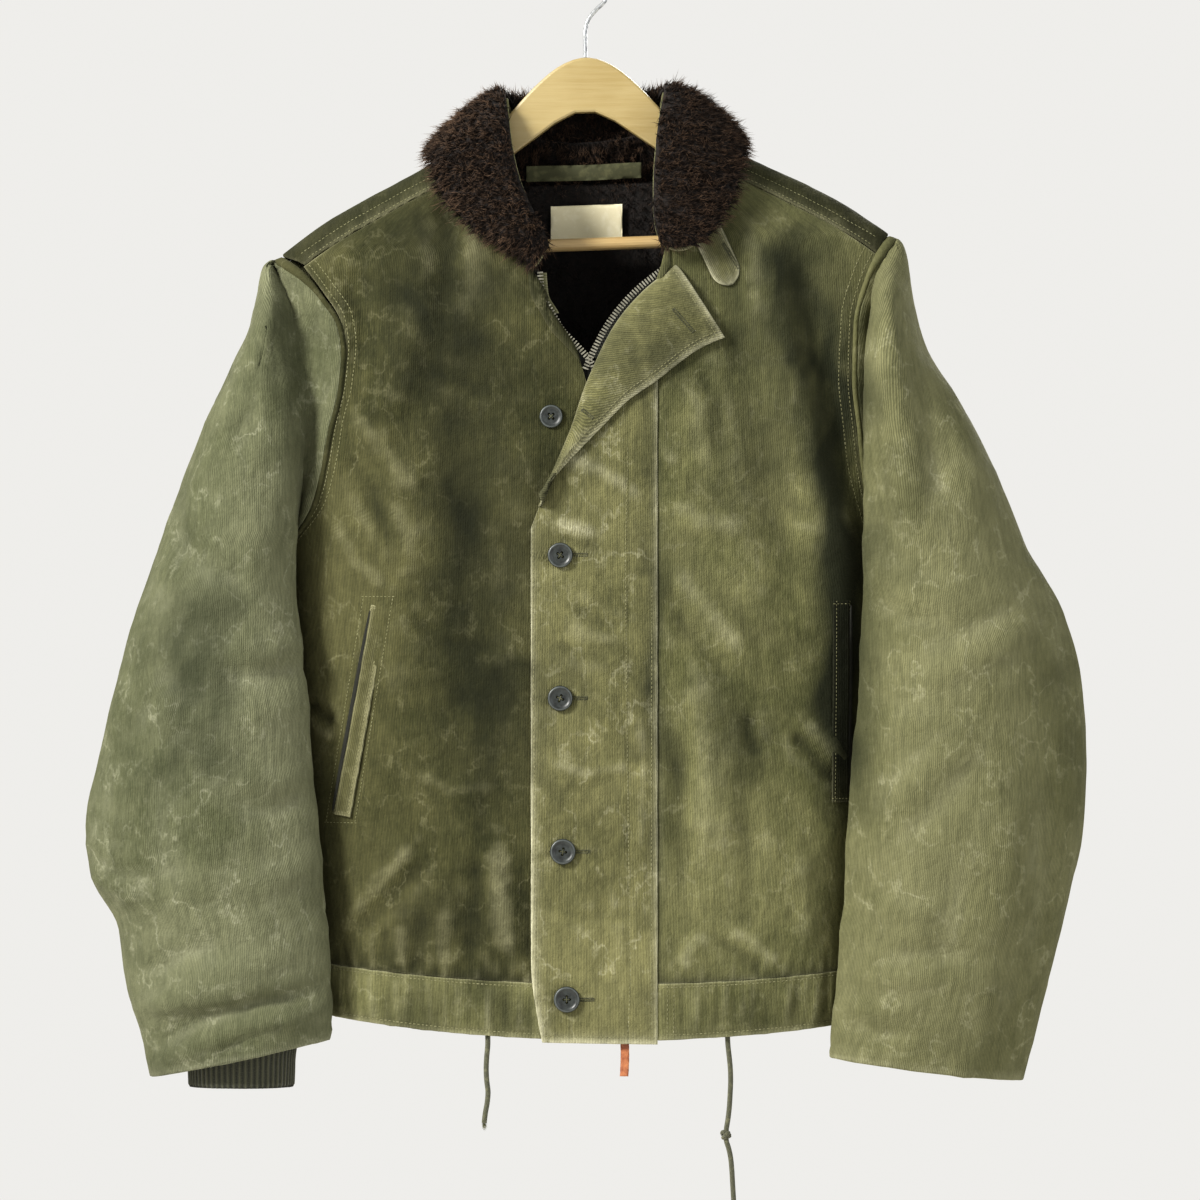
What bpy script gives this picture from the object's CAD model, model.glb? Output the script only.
import math

import bpy
import numpy as np
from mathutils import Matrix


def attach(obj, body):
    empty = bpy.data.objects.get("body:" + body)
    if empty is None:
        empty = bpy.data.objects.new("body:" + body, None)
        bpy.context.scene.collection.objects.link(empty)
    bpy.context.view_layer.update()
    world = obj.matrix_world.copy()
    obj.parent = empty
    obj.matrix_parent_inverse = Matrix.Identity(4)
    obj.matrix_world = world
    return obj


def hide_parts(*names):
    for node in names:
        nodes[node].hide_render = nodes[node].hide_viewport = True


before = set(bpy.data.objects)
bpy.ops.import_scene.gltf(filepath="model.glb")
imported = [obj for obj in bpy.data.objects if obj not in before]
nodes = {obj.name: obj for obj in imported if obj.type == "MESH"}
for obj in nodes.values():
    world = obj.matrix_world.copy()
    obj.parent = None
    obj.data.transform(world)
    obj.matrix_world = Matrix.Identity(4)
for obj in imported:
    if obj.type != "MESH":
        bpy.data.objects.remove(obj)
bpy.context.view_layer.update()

MM = 0.001
RIGHT = -1
LEFT = 1
SIDES = ((RIGHT, "right"), (LEFT, "left"))
CLOTH = 2.4
SEAM = 0.4
ROUNDNESS = 2.2
PLACKET_LIFT = CLOTH + 0.5
PLACKET_EDGE = -41.6
ARMPIT = -440
ARMHOLE_TOP = -231
BACK_TOP = -222
BACK_ARMHOLE = 6
BACK_DROP = 7
ARMHOLE_GAP = 1.5
LIP = 5
SIDE_SEAM = math.pi / 2 - 0.006
BAND_TOP = -786
BAND_MIDDLE = -800
HEM = -829
WAIST_HALF = 200
RIDGE_FOOT = -216
FAR = 99.0
NO_WEAR = (0, 0, 0, 0)
INNER_SHADE = 0.55
CORD_RADIUS = 0.002
FRAYED_THREADS = 46
TUFTS = 4096
KNIT_RIBS = 56
COLLAR_BLADES = 33000
NECK_BLADES = 4200
LINING_BLADES = 6000
HOLE_OFFSET = 2.3
HOLE_RADIUS = 1.05
FLOOR_RADIUS = 3200
FLOOR_HEIGHT = -1500
FLOOR_CORNERS = 96

# Stitches: pitch, length and thread half width in millimetres
FRAME_STITCH = (3.0, 2.2, 0.36)
TAB_STITCH = (2.8, 2.0, 0.36)
LOOP_STITCH = (2.4, 1.8, 0.32)
LABEL_STITCH = (2.4, 1.8, 0.28)

# Buttons from the top: x, z, radius and lift off the front
BUTTONS = [
    (-26, -348, 9.0, 0.0), (-19, -455, 9.7, PLACKET_LIFT), (-19, -565, 9.7, PLACKET_LIFT),
    (-17, -683, 9.9, PLACKET_LIFT), (-14, -797, 10.1, PLACKET_LIFT),
]

# Camera, from the front at chest height, as in the photograph
CAMERA_DISTANCE = 4.0
CAMERA_ACROSS = 0.01155
CAMERA_HEIGHT = -0.4897
SENSOR_WIDTH = 36
FRONT_DEPTH = 0.05
FRAME_WIDTH = 0.924
camera_data = bpy.data.cameras.new("camera")
camera_data.sensor_width = SENSOR_WIDTH
camera_data.lens = SENSOR_WIDTH * (CAMERA_DISTANCE - FRONT_DEPTH) / FRAME_WIDTH
camera = bpy.data.objects.new("camera", camera_data)
camera.location = (CAMERA_ACROSS, -CAMERA_DISTANCE, CAMERA_HEIGHT)
camera.rotation_euler = (math.pi / 2, 0, 0)
bpy.context.scene.collection.objects.link(camera)
bpy.context.scene.camera = camera

# The part's tables, in millimetres
BODY = [
    (-832, 202, 51, 45), (-786, 204, 53, 46), (-740, 207, 55, 47),
    (-680, 211, 58, 48), (-620, 216, 60, 49), (-560, 221, 61, 50),
    (-500, 226, 61, 50), (-440, 230, 61, 50), (-370, 235, 60, 49),
    (-300, 240, 56, 46), (-235, 243, 50, 41), (-216, 240, 46, 38),
    (-198, 216, 42, 36), (-185, 196, 38, 33), (-171, 170, 34, 30),
    (-157, 142, 30, 26), (-146, 121, 26, 23), (-134, 104, 22, 20),
    (-122, 88, 19, 17), (-110, 70, 16, 14), (-102, 58, 14, 13),
]
ARMHOLE_RIGHT = [
    (-440, 226), (-415, 210), (-391, 203), (-354, 196),
    (-326, 189), (-294, 186), (-273, 189), (-250, 203),
    (-232, 218), (-217, 238),
]
ARMHOLE_LEFT = [
    (-440, 225), (-400, 216), (-364, 212), (-325, 208),
    (-283, 209), (-249, 218), (-230, 228), (-217, 238),
]
SHOULDER_SEAM = [
    (62, -131), (73, -138), (115, -165), (127, -171),
    (162, -189), (191, -205), (220, -224), (232, -233),
]
RIGHT_EDGE = [
    (-786, 14), (-420, 14), (-360, 10), (-323, 1.5),
    (-309, -3), (-296, -13), (-282, -26), (-266, -35),
    (-253, -42), (-230, -44),
]
ROLL_LINE = [
    (-41.6, -434), (-27, -397), (-10, -357), (2, -322),
    (25, -276), (45, -253), (64, -238), (73, -231),
]
LAPEL_EDGE = [
    (-42, -437), (-38, -417), (-28, -401), (-13, -384),
    (10, -361), (36, -336), (54, -324), (89, -299),
    (108, -291),
]
SLEEVE_RIGHT = [
    (-218, 239.5, -225.5, -4, -2.5, 240.5, -225, 0, 3), (-222, 245, -230, -11, -13, 249, -231, -3, 9),
    (-227, 243, -242, -20, -24, 253, -250, -5, 14), (-240, 239, -262, -34, -42, 259, -278, -8, 25),
    (-266, 237, -290, -46, -56, 274, -311, -10, 33), (-300, 234, -325, -50, -63, 293, -355, -12, 38),
    (-345, 231, -366, -50, -67, 308, -390, -12, 40), (-395, 228, -408, -49, -70, 320, -422, -13, 38),
    (-437, 226, -446, -47, -72, 330, -452, -14, 34), (-496, 223, -496, -46, -73, 349, -506, -15, 30),
    (-547, 219, -547, -46, -74, 362, -556, -15, 28), (-609, 213, -609, -46, -75, 375, -610, -15, 27),
    (-660, 208, -660, -46, -75, 386, -665, -15, 27), (-707, 204, -707, -45, -74, 380, -706, -15, 27),
    (-746, 200, -746, -44, -72, 361, -742, -15, 26), (-784, 198, -784, -42, -68, 354, -790, -16, 25),
    (-810, 197, -810, -41, -65, 343, -823, -17, 23), (-829, 200, -829, -40, -62, 335, -859, -18, 20),
]
SLEEVE_LEFT = [
    (-218, 240, -208.5, -4, -2.5, 241, -208, 0, 3), (-222, 241, -213, -11, -13, 246, -215, -3, 9),
    (-228, 235, -225, -21, -25, 250, -233, -5, 14), (-243, 227, -243, -36, -44, 254, -257, -8, 25),
    (-272, 223, -285, -48, -58, 264, -294, -10, 34), (-310, 219, -328, -52, -64, 286, -332, -12, 38),
    (-352, 218, -372, -52, -68, 308, -372, -12, 40), (-398, 217, -412, -50, -71, 327, -414, -13, 38),
    (-437, 216, -446, -48, -73, 341, -450, -14, 34), (-500, 215, -500, -47, -75, 370, -500, -15, 30),
    (-555, 213, -555, -47, -76, 384, -556, -15, 28), (-605, 209, -605, -47, -76, 387, -612, -15, 27),
    (-660, 206, -660, -46, -76, 385, -664, -15, 27), (-712, 203, -712, -45, -75, 375, -712, -15, 27),
    (-750, 199, -750, -44, -73, 365, -754, -15, 26), (-790, 195, -790, -42, -69, 355, -794, -16, 25),
    (-820, 191, -820, -41, -66, 347, -828, -17, 23), (-843, 189, -843, -40, -64, 338, -862, -18, 20),
]
COLLAR = [
    (-29, -50, -218, -33, -54, -226, -38, -52, -232), (-33, -48, -204, -46, -54, -211, -58, -49, -215),
    (-42, -41, -183, -66, -48, -192, -88, -42, -197), (-51, -32, -158, -84, -37, -166, -112, -30, -170),
    (-57, -23, -128, -90, -27, -132, -120, -20, -145), (-60, 0, -96, -86, 2, -107, -119, 3, -139),
    (-52, 17, -120, -72, 24, -101, -104, 33, -156), (-28, 24, -148, -38, 36, -100, -58, 42, -170),
    (0, 27, -155, 0, 38, -101, 0, 46, -173), (28, 24, -148, 38, 36, -100, 58, 42, -170),
    (52, 17, -120, 72, 24, -101, 105, 33, -156), (60, 0, -96, 88, 2, -107, 121, 3, -140),
    (55, -25, -132, 90, -29, -134, 122, -20, -148), (52, -37, -167, 88, -41, -165, 119, -35, -169),
    (52, -45, -188, 84, -51, -188, 113, -43, -187), (54, -50, -207, 80, -56, -209, 104, -50, -200),
    (60, -54, -219, 73, -59, -224, 88, -56, -218),
]
FRONT_CREASES = [
    (-5, 11, [(-106, -171), (-105, -213), (-109, -270)]),
    (-3.5, 11, [(-172, -225), (-176, -263), (-172, -309)]),
    (4, 14, [(-125, -246), (-137, -297), (-153, -355)]),
    (-2.4, 5, [(-219, -567), (-206, -578), (-192, -586)]),
    (1.8, 5, [(-219, -579), (-206, -591), (-190, -598)]),
    (3.2, 8, [(-186, -739), (-164, -713), (-144, -691), (-130, -674)]),
    (-3.2, 7, [(-179, -752), (-152, -722), (-121, -688)]),
    (4.4, 11, [(-65, -667), (-67, -705), (-63, -736), (-56, -772)]),
    (-3.4, 8, [(-82, -682), (-85, -725), (-90, -772)]),
    (-3, 6, [(-48, -699), (-46, -736), (-44, -773)]),
    (-2.2, 5, [(-155, -740), (-155, -773)]),
    (2.4, 6, [(-142, -736), (-142, -776)]),
    (-2.6, 6, [(-126, -728), (-129, -778)]),
    (2.6, 7, [(-107, -721), (-111, -779)]),
    (-2.6, 20, [(-89, -351), (-95, -428), (-89, -521), (-95, -613)]),
    (3, 22, [(-142, -397), (-149, -490), (-139, -590)]),
    (2.6, 9, [(-186, -336), (-158, -367), (-124, -414)]),
    (-2.6, 8, [(-190, -367), (-164, -411), (-142, -459)]),
    (1.6, 6, [(-196, -428), (-176, -459), (-149, -482)]),
    (-1.5, 6, [(-139, -497), (-112, -521), (-65, -528)]),
    (1.4, 6, [(-133, -619), (-104, -636), (-62, -633)]),
    (-1.8, 7, [(-150, -282), (-119, -314), (-65, -333)]),
    (6, 16, [(117, -174), (135, -220), (149, -273), (169, -353), (190, -444), (203, -514)]),
    (-6, 14, [(166, -201), (176, -273), (195, -351), (210, -428)]),
    (-4, 17, [(110, -259), (130, -351), (152, -444), (166, -521)]),
    (-3.6, 6, [(158, -589), (179, -613), (200, -634)]),
    (2.6, 7, [(169, -579), (190, -601), (209, -619)]),
    (-2.8, 6, [(126, -574), (127, -594), (136, -614)]),
    (3, 7, [(70, -774), (81, -759), (95, -744)]),
    (-2.8, 6, [(100, -749), (119, -763), (140, -779)]),
    (2.2, 6, [(110, -741), (132, -755), (155, -772)]),
    (-1.9, 5, [(30, -373), (47, -381), (60, -393)]),
    (1.6, 5, [(39, -363), (58, -373), (73, -387)]),
    (3, 18, [(89, -521), (98, -613), (93, -698)]),
    (-3, 9, [(122, -644), (127, -705), (122, -755)]),
    (3, 9, [(166, -682), (170, -728), (166, -763)]),
    (-2.5, 12, [(73, -582), (70, -659), (76, -736)]),
    (1.8, 8, [(62, -459), (92, -493), (126, -537)]),
    (-1.8, 7, [(58, -490), (89, -527), (116, -567)]),
    (-2, 7, [(81, -305), (101, -336), (104, -390)]),
    (1.8, 8, [(64, -413), (89, -428), (127, -434)]),
]
PLACKET_CREASES = [
    (1.3, 4, [(-25, -428), (-8, -434), (10, -438)]),
    (-1.3, 4, [(-22, -440), (-4, -446), (16, -450)]),
    (-1.2, 5, [(-31, -521), (-4, -530), (28, -528)]),
    (1.2, 5, [(-31, -613), (0, -622), (42, -616)]),
    (-1.3, 5, [(-28, -725), (4, -735), (42, -730)]),
    (1.3, 6, [(-25, -378), (12, -390), (50, -417)]),
    (-1.4, 5, [(-19, -490), (12, -507), (42, -511)]),
    (1.2, 5, [(42, -567), (45, -628), (42, -690)]),
    (-1.2, 5, [(12, -705), (15, -759), (10, -805)]),
]
SLEEVE_RIGHT_CREASES = [
    (-4, 4, [(-398, -700), (-372, -704), (-340, -724)]),
    (-3, 4, [(-392, -676), (-366, -686), (-338, -694)]),
    (-3, 5, [(-349, -806), (-300, -796), (-240, -786), (-201, -780)]),
    (-3.6, 6, [(-341, -559), (-320, -573), (-298, -588)]),
    (2.6, 7, [(-335, -542), (-312, -556), (-287, -571)]),
    (-2.6, 7, [(-335, -459), (-304, -490), (-266, -504)]),
    (2.4, 8, [(-327, -436), (-293, -464), (-253, -482)]),
    (4.4, 8, [(-326, -836), (-293, -812), (-246, -798), (-203, -788)]),
    (-3.8, 6, [(-329, -849), (-292, -829), (-243, -813), (-200, -804)]),
    (2.6, 5, [(-279, -835), (-259, -822), (-232, -816)]),
    (-3, 7, [(-343, -813), (-304, -786), (-266, -773), (-219, -764)]),
    (2.5, 6, [(-346, -786), (-312, -763), (-272, -750)]),
    (-3, 7, [(-213, -521), (-249, -532), (-280, -528)]),
    (2.6, 7, [(-212, -539), (-247, -551), (-284, -548)]),
    (-2.6, 6, [(-212, -567), (-249, -576), (-269, -571)]),
    (-2.8, 7, [(-209, -621), (-243, -630), (-277, -622)]),
    (2.4, 7, [(-207, -644), (-241, -653), (-273, -648)]),
    (-2.4, 6, [(-206, -690), (-238, -705), (-267, -707)]),
    (3.2, 13, [(-241, -266), (-256, -328), (-266, -390)]),
    (-2.8, 9, [(-221, -305), (-230, -359), (-235, -428)]),
    (-2.6, 9, [(-280, -305), (-293, -367), (-300, -428)]),
    (2.2, 7, [(-310, -359), (-318, -413), (-312, -459)]),
    (-2.4, 6, [(-355, -613), (-343, -659), (-338, -705)]),
    (2.4, 9, [(-320, -613), (-323, -675), (-312, -721)]),
    (-2, 6, [(-292, -636), (-286, -682), (-292, -725)]),
]
SLEEVE_LEFT_CREASES = [
    (5, 13, [(244, -216), (253, -284), (268, -352), (278, -430)]),
    (-5, 9, [(229, -259), (235, -320), (246, -390), (252, -444)]),
    (-3, 12, [(281, -282), (293, -359), (304, -428)]),
    (-3.8, 6, [(259, -551), (300, -532), (340, -512)]),
    (3, 7, [(255, -533), (295, -514), (333, -494)]),
    (-3.8, 7, [(227, -662), (259, -625), (293, -589)]),
    (3.2, 8, [(243, -679), (277, -639), (310, -601)]),
    (-3, 6, [(300, -778), (309, -796), (316, -812)]),
    (2.6, 5, [(200, -815), (223, -824), (246, -822)]),
    (-2.4, 5, [(198, -798), (227, -805), (258, -801)]),
    (-2.2, 4, [(289, -842), (290, -861)]),
    (-2.6, 8, [(219, -459), (246, -482), (289, -490)]),
    (2.3, 7, [(218, -490), (246, -507), (289, -510)]),
    (3, 13, [(350, -459), (366, -521), (370, -582)]),
    (-3, 12, [(320, -633), (323, -698), (320, -759)]),
    (2.6, 9, [(283, -690), (280, -744), (273, -798)]),
    (-2.5, 6, [(218, -721), (246, -732), (273, -721)]),
    (2.6, 8, [(350, -644), (350, -705), (343, -767)]),
    (-2.4, 7, [(219, -576), (243, -590), (266, -587)]),
    (3, 7, [(227, -767), (266, -759), (304, -765)]),
    (-2.8, 6, [(219, -781), (262, -776), (300, -785)]),
]
BACK_CREASES = [
    (4, 18, [(-95, -190), (-80, -330), (-90, -470), (-70, -620)]),
    (-4, 16, [(-150, -260), (-138, -380), (-142, -520)]),
    (4, 17, [(100, -200), (88, -340), (98, -500), (84, -640)]),
    (-4, 15, [(158, -280), (146, -400), (140, -540)]),
    (-3, 20, [(0, -240), (8, -380), (-4, -560)]),
    (2.6, 8, [(-60, -200), (-20, -214), (40, -206), (80, -196)]),
    (-2.4, 7, [(-70, -222), (-10, -236), (60, -226)]),
    (3, 9, [(-180, -640), (-130, -700), (-100, -770)]),
    (-3, 8, [(-160, -690), (-118, -738), (-96, -782)]),
    (3, 9, [(176, -650), (136, -716), (118, -776)]),
    (-2.6, 8, [(60, -700), (66, -740), (60, -784)]),
    (2.6, 8, [(30, -690), (26, -740), (32, -784)]),
    (-2.6, 7, [(-30, -700), (-34, -744), (-28, -784)]),
    (2, 8, [(-190, -420), (-150, -450), (-110, -500)]),
    (-2, 8, [(196, -430), (150, -470), (116, -520)]),
]
SLEEVE_REAR_CREASES = [
    (3.4, 10, [(262, -270), (282, -400), (300, -520)]),
    (-3.2, 9, [(300, -330), (318, -440), (330, -540)]),
    (-3.4, 7, [(230, -540), (280, -556), (350, -540)]),
    (3, 7, [(232, -566), (286, -580), (356, -570)]),
    (-3, 6, [(236, -600), (290, -606), (352, -620)]),
    (-2.8, 7, [(240, -680), (290, -700), (340, -690)]),
    (2.8, 7, [(236, -716), (286, -730), (338, -726)]),
    (3.4, 7, [(220, -800), (262, -812), (318, -826)]),
    (-3.2, 6, [(222, -820), (266, -832), (320, -846)]),
    (2.4, 9, [(320, -620), (330, -700), (316, -780)]),
]


# Materials: colours are written in sRGB, and each look is a small tree of nodes
def linear(code):
    values = [int(code[i:i + 2], 16) / 255 for i in (1, 3, 5)]
    return tuple(c / 12.92 if c <= 0.04045 else ((c + 0.055) / 1.055) ** 2.4 for c in values) + (1.0,)


class Look:
    """A node material; add() makes a node, sets its sockets and properties, and returns it."""

    def __init__(self, name):
        self.material = bpy.data.materials.new(name)
        self.material.use_nodes = True
        self.tree = self.material.node_tree
        self.shader = self.tree.nodes["Principled BSDF"]

    def add(self, kind, inputs=None, **settings):
        node = self.tree.nodes.new("ShaderNode" + kind)
        for key, value in settings.items():
            setattr(node, key, value)
        for key, value in (inputs or {}).items():
            self.put(node.inputs[key], value)
        return node

    def put(self, socket, value):
        if isinstance(value, bpy.types.NodeSocket):
            self.tree.links.new(value, socket)
        elif isinstance(value, str):
            socket.default_value = linear(value)
        else:
            socket.default_value = value

    def set(self, **inputs):
        for key, value in inputs.items():
            self.put(self.shader.inputs[key.replace("_", " ")], value)

    def value(self, name):
        return self.add("Attribute", attribute_name=name).outputs["Fac"]

    def space(self):
        return self.add("TexCoord").outputs["Object"]

    def flat_cloth(self):
        return self.add("UVMap", uv_map="cloth").outputs["UV"]

    def mapped(self, where, **change):
        return self.add("Mapping", {"Vector": where, **change}).outputs["Vector"]

    def wave(self, where, pitch, axis, **inputs):
        """Parallel threads, a pitch in metres apart."""
        named = {key.replace("_", " "): value for key, value in inputs.items()}
        node = self.add("TexWave", {"Vector": where, "Scale": 0.5 / pitch, **named}, bands_direction=axis)
        return node.outputs["Fac"]

    def noise(self, where, scale, detail=3.0, rough=0.55):
        node = self.add("TexNoise", {"Vector": where, "Scale": scale, "Detail": detail, "Roughness": rough})
        return node.outputs["Fac"]

    def range(self, value, low, high, to_low=0.0, to_high=1.0):
        node = self.add("MapRange", {0: value, 1: low, 2: high, 3: to_low, 4: to_high})
        return node.outputs["Result"]

    def math(self, kind, a, b=0.0):
        return self.add("Math", {0: a, 1: b}, operation=kind).outputs["Value"]

    def mix(self, share, a, b):
        node = self.add("Mix", data_type="RGBA")
        self.put(node.inputs["Factor"], share)
        self.put(node.inputs[6], a)
        self.put(node.inputs[7], b)
        return node.outputs[2]

    def bump(self, height, strength, distance, normal=None):
        inputs = {"Height": height, "Strength": strength, "Distance": distance}
        node = self.add("Bump", inputs)
        if normal is not None:
            self.put(node.inputs["Normal"], normal)
        return node.outputs["Normal"]


def cotton(name, mid, pale, deep, worn="#b0ae90", mottle=1.0):
    """Jungle cloth: cords down the cloth, faded patches, crazed wear, pale edges, dark hollows."""
    look = Look(name)
    place = look.flat_cloth()
    space = look.space()
    along = look.mapped(place, Scale=(1.0, 0.14, 1.0))
    cords = look.wave(place, 0.0021, "X", Distortion=1.6, Detail=2.0, Detail_Scale=0.5)
    picks = look.noise(place, 1500.0, 1.0)
    slub = look.noise(along, 820.0, 2.0)
    streaks = look.noise(along, 260.0, 3.0, 0.6)
    patches = look.noise(space, 7.0, 4.0, 0.55)
    blotches = look.noise(space, 42.0, 6.0, 0.68)
    bent = look.mapped(space, Scale=(1.0, 1.0, 0.8))
    lines = look.math("ABSOLUTE", look.math("SUBTRACT", look.noise(bent, 30.0, 5.0, 0.55), 0.5))
    crazed = look.math("MULTIPLY", look.range(lines, 0.0, 0.022, 1.0, 0.0), look.range(blotches, 0.44, 0.7))
    fade = look.math("ADD", look.range(patches, 0.38, 0.64, 0.0, 0.55 * mottle),
                     look.range(blotches, 0.4, 0.7, 0.0, 0.4 * mottle))
    color = look.mix(fade, mid, pale)
    color = look.mix(look.range(look.value("tone"), 0.0, 1.0, 0.0, 0.9), color, pale)
    color = look.mix(look.range(streaks, 0.36, 0.6, 0.24, 0.0), color, deep)
    color = look.mix(look.range(slub, 0.48, 0.7, 0.0, 0.3), color, pale)
    color = look.mix(look.math("MULTIPLY", look.value("hollow"), 0.88), color, deep)
    rub = look.math("MULTIPLY", look.value("wear"), look.range(blotches, 0.32, 0.6, 0.35, 1.0))
    color = look.mix(look.math("MULTIPLY", rub, 0.8), color, worn)
    color = look.mix(look.math("MULTIPLY", crazed, 0.26 * mottle), color, worn)
    color = look.mix(look.range(look.value("tone"), 0.0, -1.0, 0.0, 0.95), color, deep)
    color = look.mix(look.range(cords, 0.25, 0.75, 0.42, 0.0), color, deep)
    look.set(Base_Color=color, Roughness=look.range(blotches, 0.3, 0.7, 0.8, 0.94))
    look.set(Sheen_Weight=0.08, Sheen_Roughness=0.5, Sheen_Tint="#c9c8a8")
    look.shader.inputs["Specular IOR Level"].default_value = 0.15
    weave = look.math("ADD", look.math("MULTIPLY", cords, 0.8), look.math("MULTIPLY", picks, 0.3))
    fine = look.bump(weave, 0.6, 0.0004)
    crumple = look.bump(look.noise(space, 80.0, 6.0, 0.66), 0.8, 0.0036, fine)
    look.set(Normal=crumple)
    return look.material


def plain_weave(name, mid, deep, pitch=0.0007, worn="#8f8b6c"):
    """Woven tape or label cloth: crossed threads, slight rubbing."""
    look = Look(name)
    place = look.space()
    turned = look.mapped(place, Rotation=(0.0, 0.3, 0.0))
    warp = look.wave(turned, pitch, "X")
    weft = look.wave(turned, pitch, "Z")
    both = look.math("MULTIPLY", warp, weft)
    rub = look.noise(place, 160.0, 4.0)
    color = look.mix(look.range(both, 0.0, 0.7, 0.5, 0.0), mid, deep)
    color = look.mix(look.range(rub, 0.5, 0.75, 0.0, 0.5), color, worn)
    look.set(Base_Color=color, Roughness=0.86, Normal=look.bump(both, 0.5, 0.0003))
    return look.material


# A smooth curve through a table's rows that never overshoots them: the first column is the key
def smooth_table(rows):
    table = np.array(sorted(rows), dtype=float)
    keys = table[:, 0]
    steps = np.diff(keys)
    chords = np.diff(table, axis=0) / steps[:, None]
    slopes = np.zeros_like(table)
    slopes[0] = chords[0]
    slopes[-1] = chords[-1]
    before, after = chords[:-1], chords[1:]
    same = before * after > 0
    total = np.where(same, before + after, 1.0)
    slopes[1:-1] = np.where(same, 2 * before * after / total, 0.0)

    def at(key):
        key = np.clip(np.asarray(key, dtype=float), keys[0], keys[-1])
        i = np.clip(np.searchsorted(keys, key, side="right") - 1, 0, len(keys) - 2)
        t = ((key - keys[i]) / steps[i])[..., None]
        step = steps[i][..., None]
        keep = table[i] * (1 + 2 * t) * (1 - t) ** 2 + table[i + 1] * t * t * (3 - 2 * t)
        return keep + step * slopes[i] * t * (1 - t) ** 2 - step * slopes[i + 1] * t * t * (1 - t)

    return at


# A centripetal Catmull-Rom path through points, which may be arrays of points, at t from 0 to 1
def smooth_path(points, t):
    pts = [2 * points[0] - points[1]] + list(points) + [2 * points[-1] - points[-2]]
    pts = np.stack(np.broadcast_arrays(*pts))
    at = np.clip(t, 0, 1) * (len(points) - 1)
    i = np.clip(np.floor(at).astype(int), 0, len(points) - 2)
    f = (at - i)[..., None]
    where = np.indices(i.shape)
    pick = [pts[(i + k, *where)] if pts.ndim > 2 else pts[i + k] for k in range(4)]
    a, b, c, d = pick
    gaps = [np.maximum(np.sqrt(np.linalg.norm(q - p, axis=-1, keepdims=True)), 1e-4)
            for p, q in ((a, b), (b, c), (c, d))]
    g0, g1, g2 = gaps
    m1 = g1 * ((b - a) / g0 - (c - a) / (g0 + g1) + (c - b) / g1)
    m2 = g1 * ((c - b) / g1 - (d - b) / (g1 + g2) + (d - c) / g2)
    return ((2 * f ** 3 - 3 * f ** 2 + 1) * b + (f ** 3 - 2 * f ** 2 + f) * m1
            + (3 * f ** 2 - 2 * f ** 3) * c + (f ** 3 - f ** 2) * m2)


body_at = smooth_table(BODY)
seam_at = smooth_table(SHOULDER_SEAM)
roll_at = smooth_table(ROLL_LINE)
lapel_edge_at = smooth_table(LAPEL_EDGE)
right_edge_at = smooth_table(RIGHT_EDGE)
armhole_at = {RIGHT: smooth_table(ARMHOLE_RIGHT), LEFT: smooth_table(ARMHOLE_LEFT)}
ridge_at = smooth_table([(row[1], row[0]) for row in BODY if row[0] >= RIDGE_FOOT])


def lerp(a, b, t):
    return a + (b - a) * t


def smooth_step(t):
    t = np.clip(t, 0, 1)
    return t * t * (3 - 2 * t)


def stack(*parts):
    return np.stack(np.broadcast_arrays(*[np.asarray(p, dtype=float) for p in parts]), axis=-1)


def lean(z):
    return lerp(0.035, -0.018, np.clip((-230 - z) / 600, 0, 1))


def settled(x, y, z):
    return stack(x, y, z + x * lean(z))


def angle_of(x, z):
    share = np.clip(np.abs(x) / body_at(z)[..., 1], 0, 1)
    return np.sign(x) * np.arcsin(share ** (ROUNDNESS / 2))


def on_body(angle, z, face, lift=0.0):
    ring = body_at(z)
    depth = np.where(face < 0, ring[..., 2], ring[..., 3])
    x = np.sign(angle) * ring[..., 1] * np.abs(np.sin(angle)) ** (2 / ROUNDNESS)
    y = face * depth * np.maximum(0, np.cos(angle)) ** (2 / ROUNDNESS)
    return settled(x, y + face * lift, z)


def on_front(x, z, lift=0.0):
    return on_body(angle_of(x, z), z, -1, lift)


def on_back(x, z, lift=0.0):
    return on_body(angle_of(x, z), z, 1, lift)


def lap_lift(x):
    return PLACKET_LIFT * (1 - smooth_step((x - 20) / 90))


def band_top(x):
    return BAND_TOP + 11 * (x / WAIST_HALF) ** 2


def band_hem(x):
    return HEM + 13 * (x / WAIST_HALF) ** 2


def ring_x(angle, z):
    return body_at(z)[..., 1] * np.abs(np.sin(angle)) ** (2 / ROUNDNESS)


# Noise from seeded gradients, about -1 to 1, features one unit apart
def noise2(x, y, seed):
    turn = np.random.default_rng(seed).uniform(0, 2 * np.pi, (64, 64))
    xi, yi = np.floor(x).astype(int), np.floor(y).astype(int)
    fx, fy = x - xi, y - yi

    def corner(dx, dy):
        a = turn[(xi + dx) % 64, (yi + dy) % 64]
        return np.cos(a) * (fx - dx) + np.sin(a) * (fy - dy)

    sx, sy = smooth_step(fx), smooth_step(fy)
    low = lerp(corner(0, 0), corner(1, 0), sx)
    high = lerp(corner(0, 1), corner(1, 1), sx)
    return 1.5 * lerp(low, high, sy)


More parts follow.
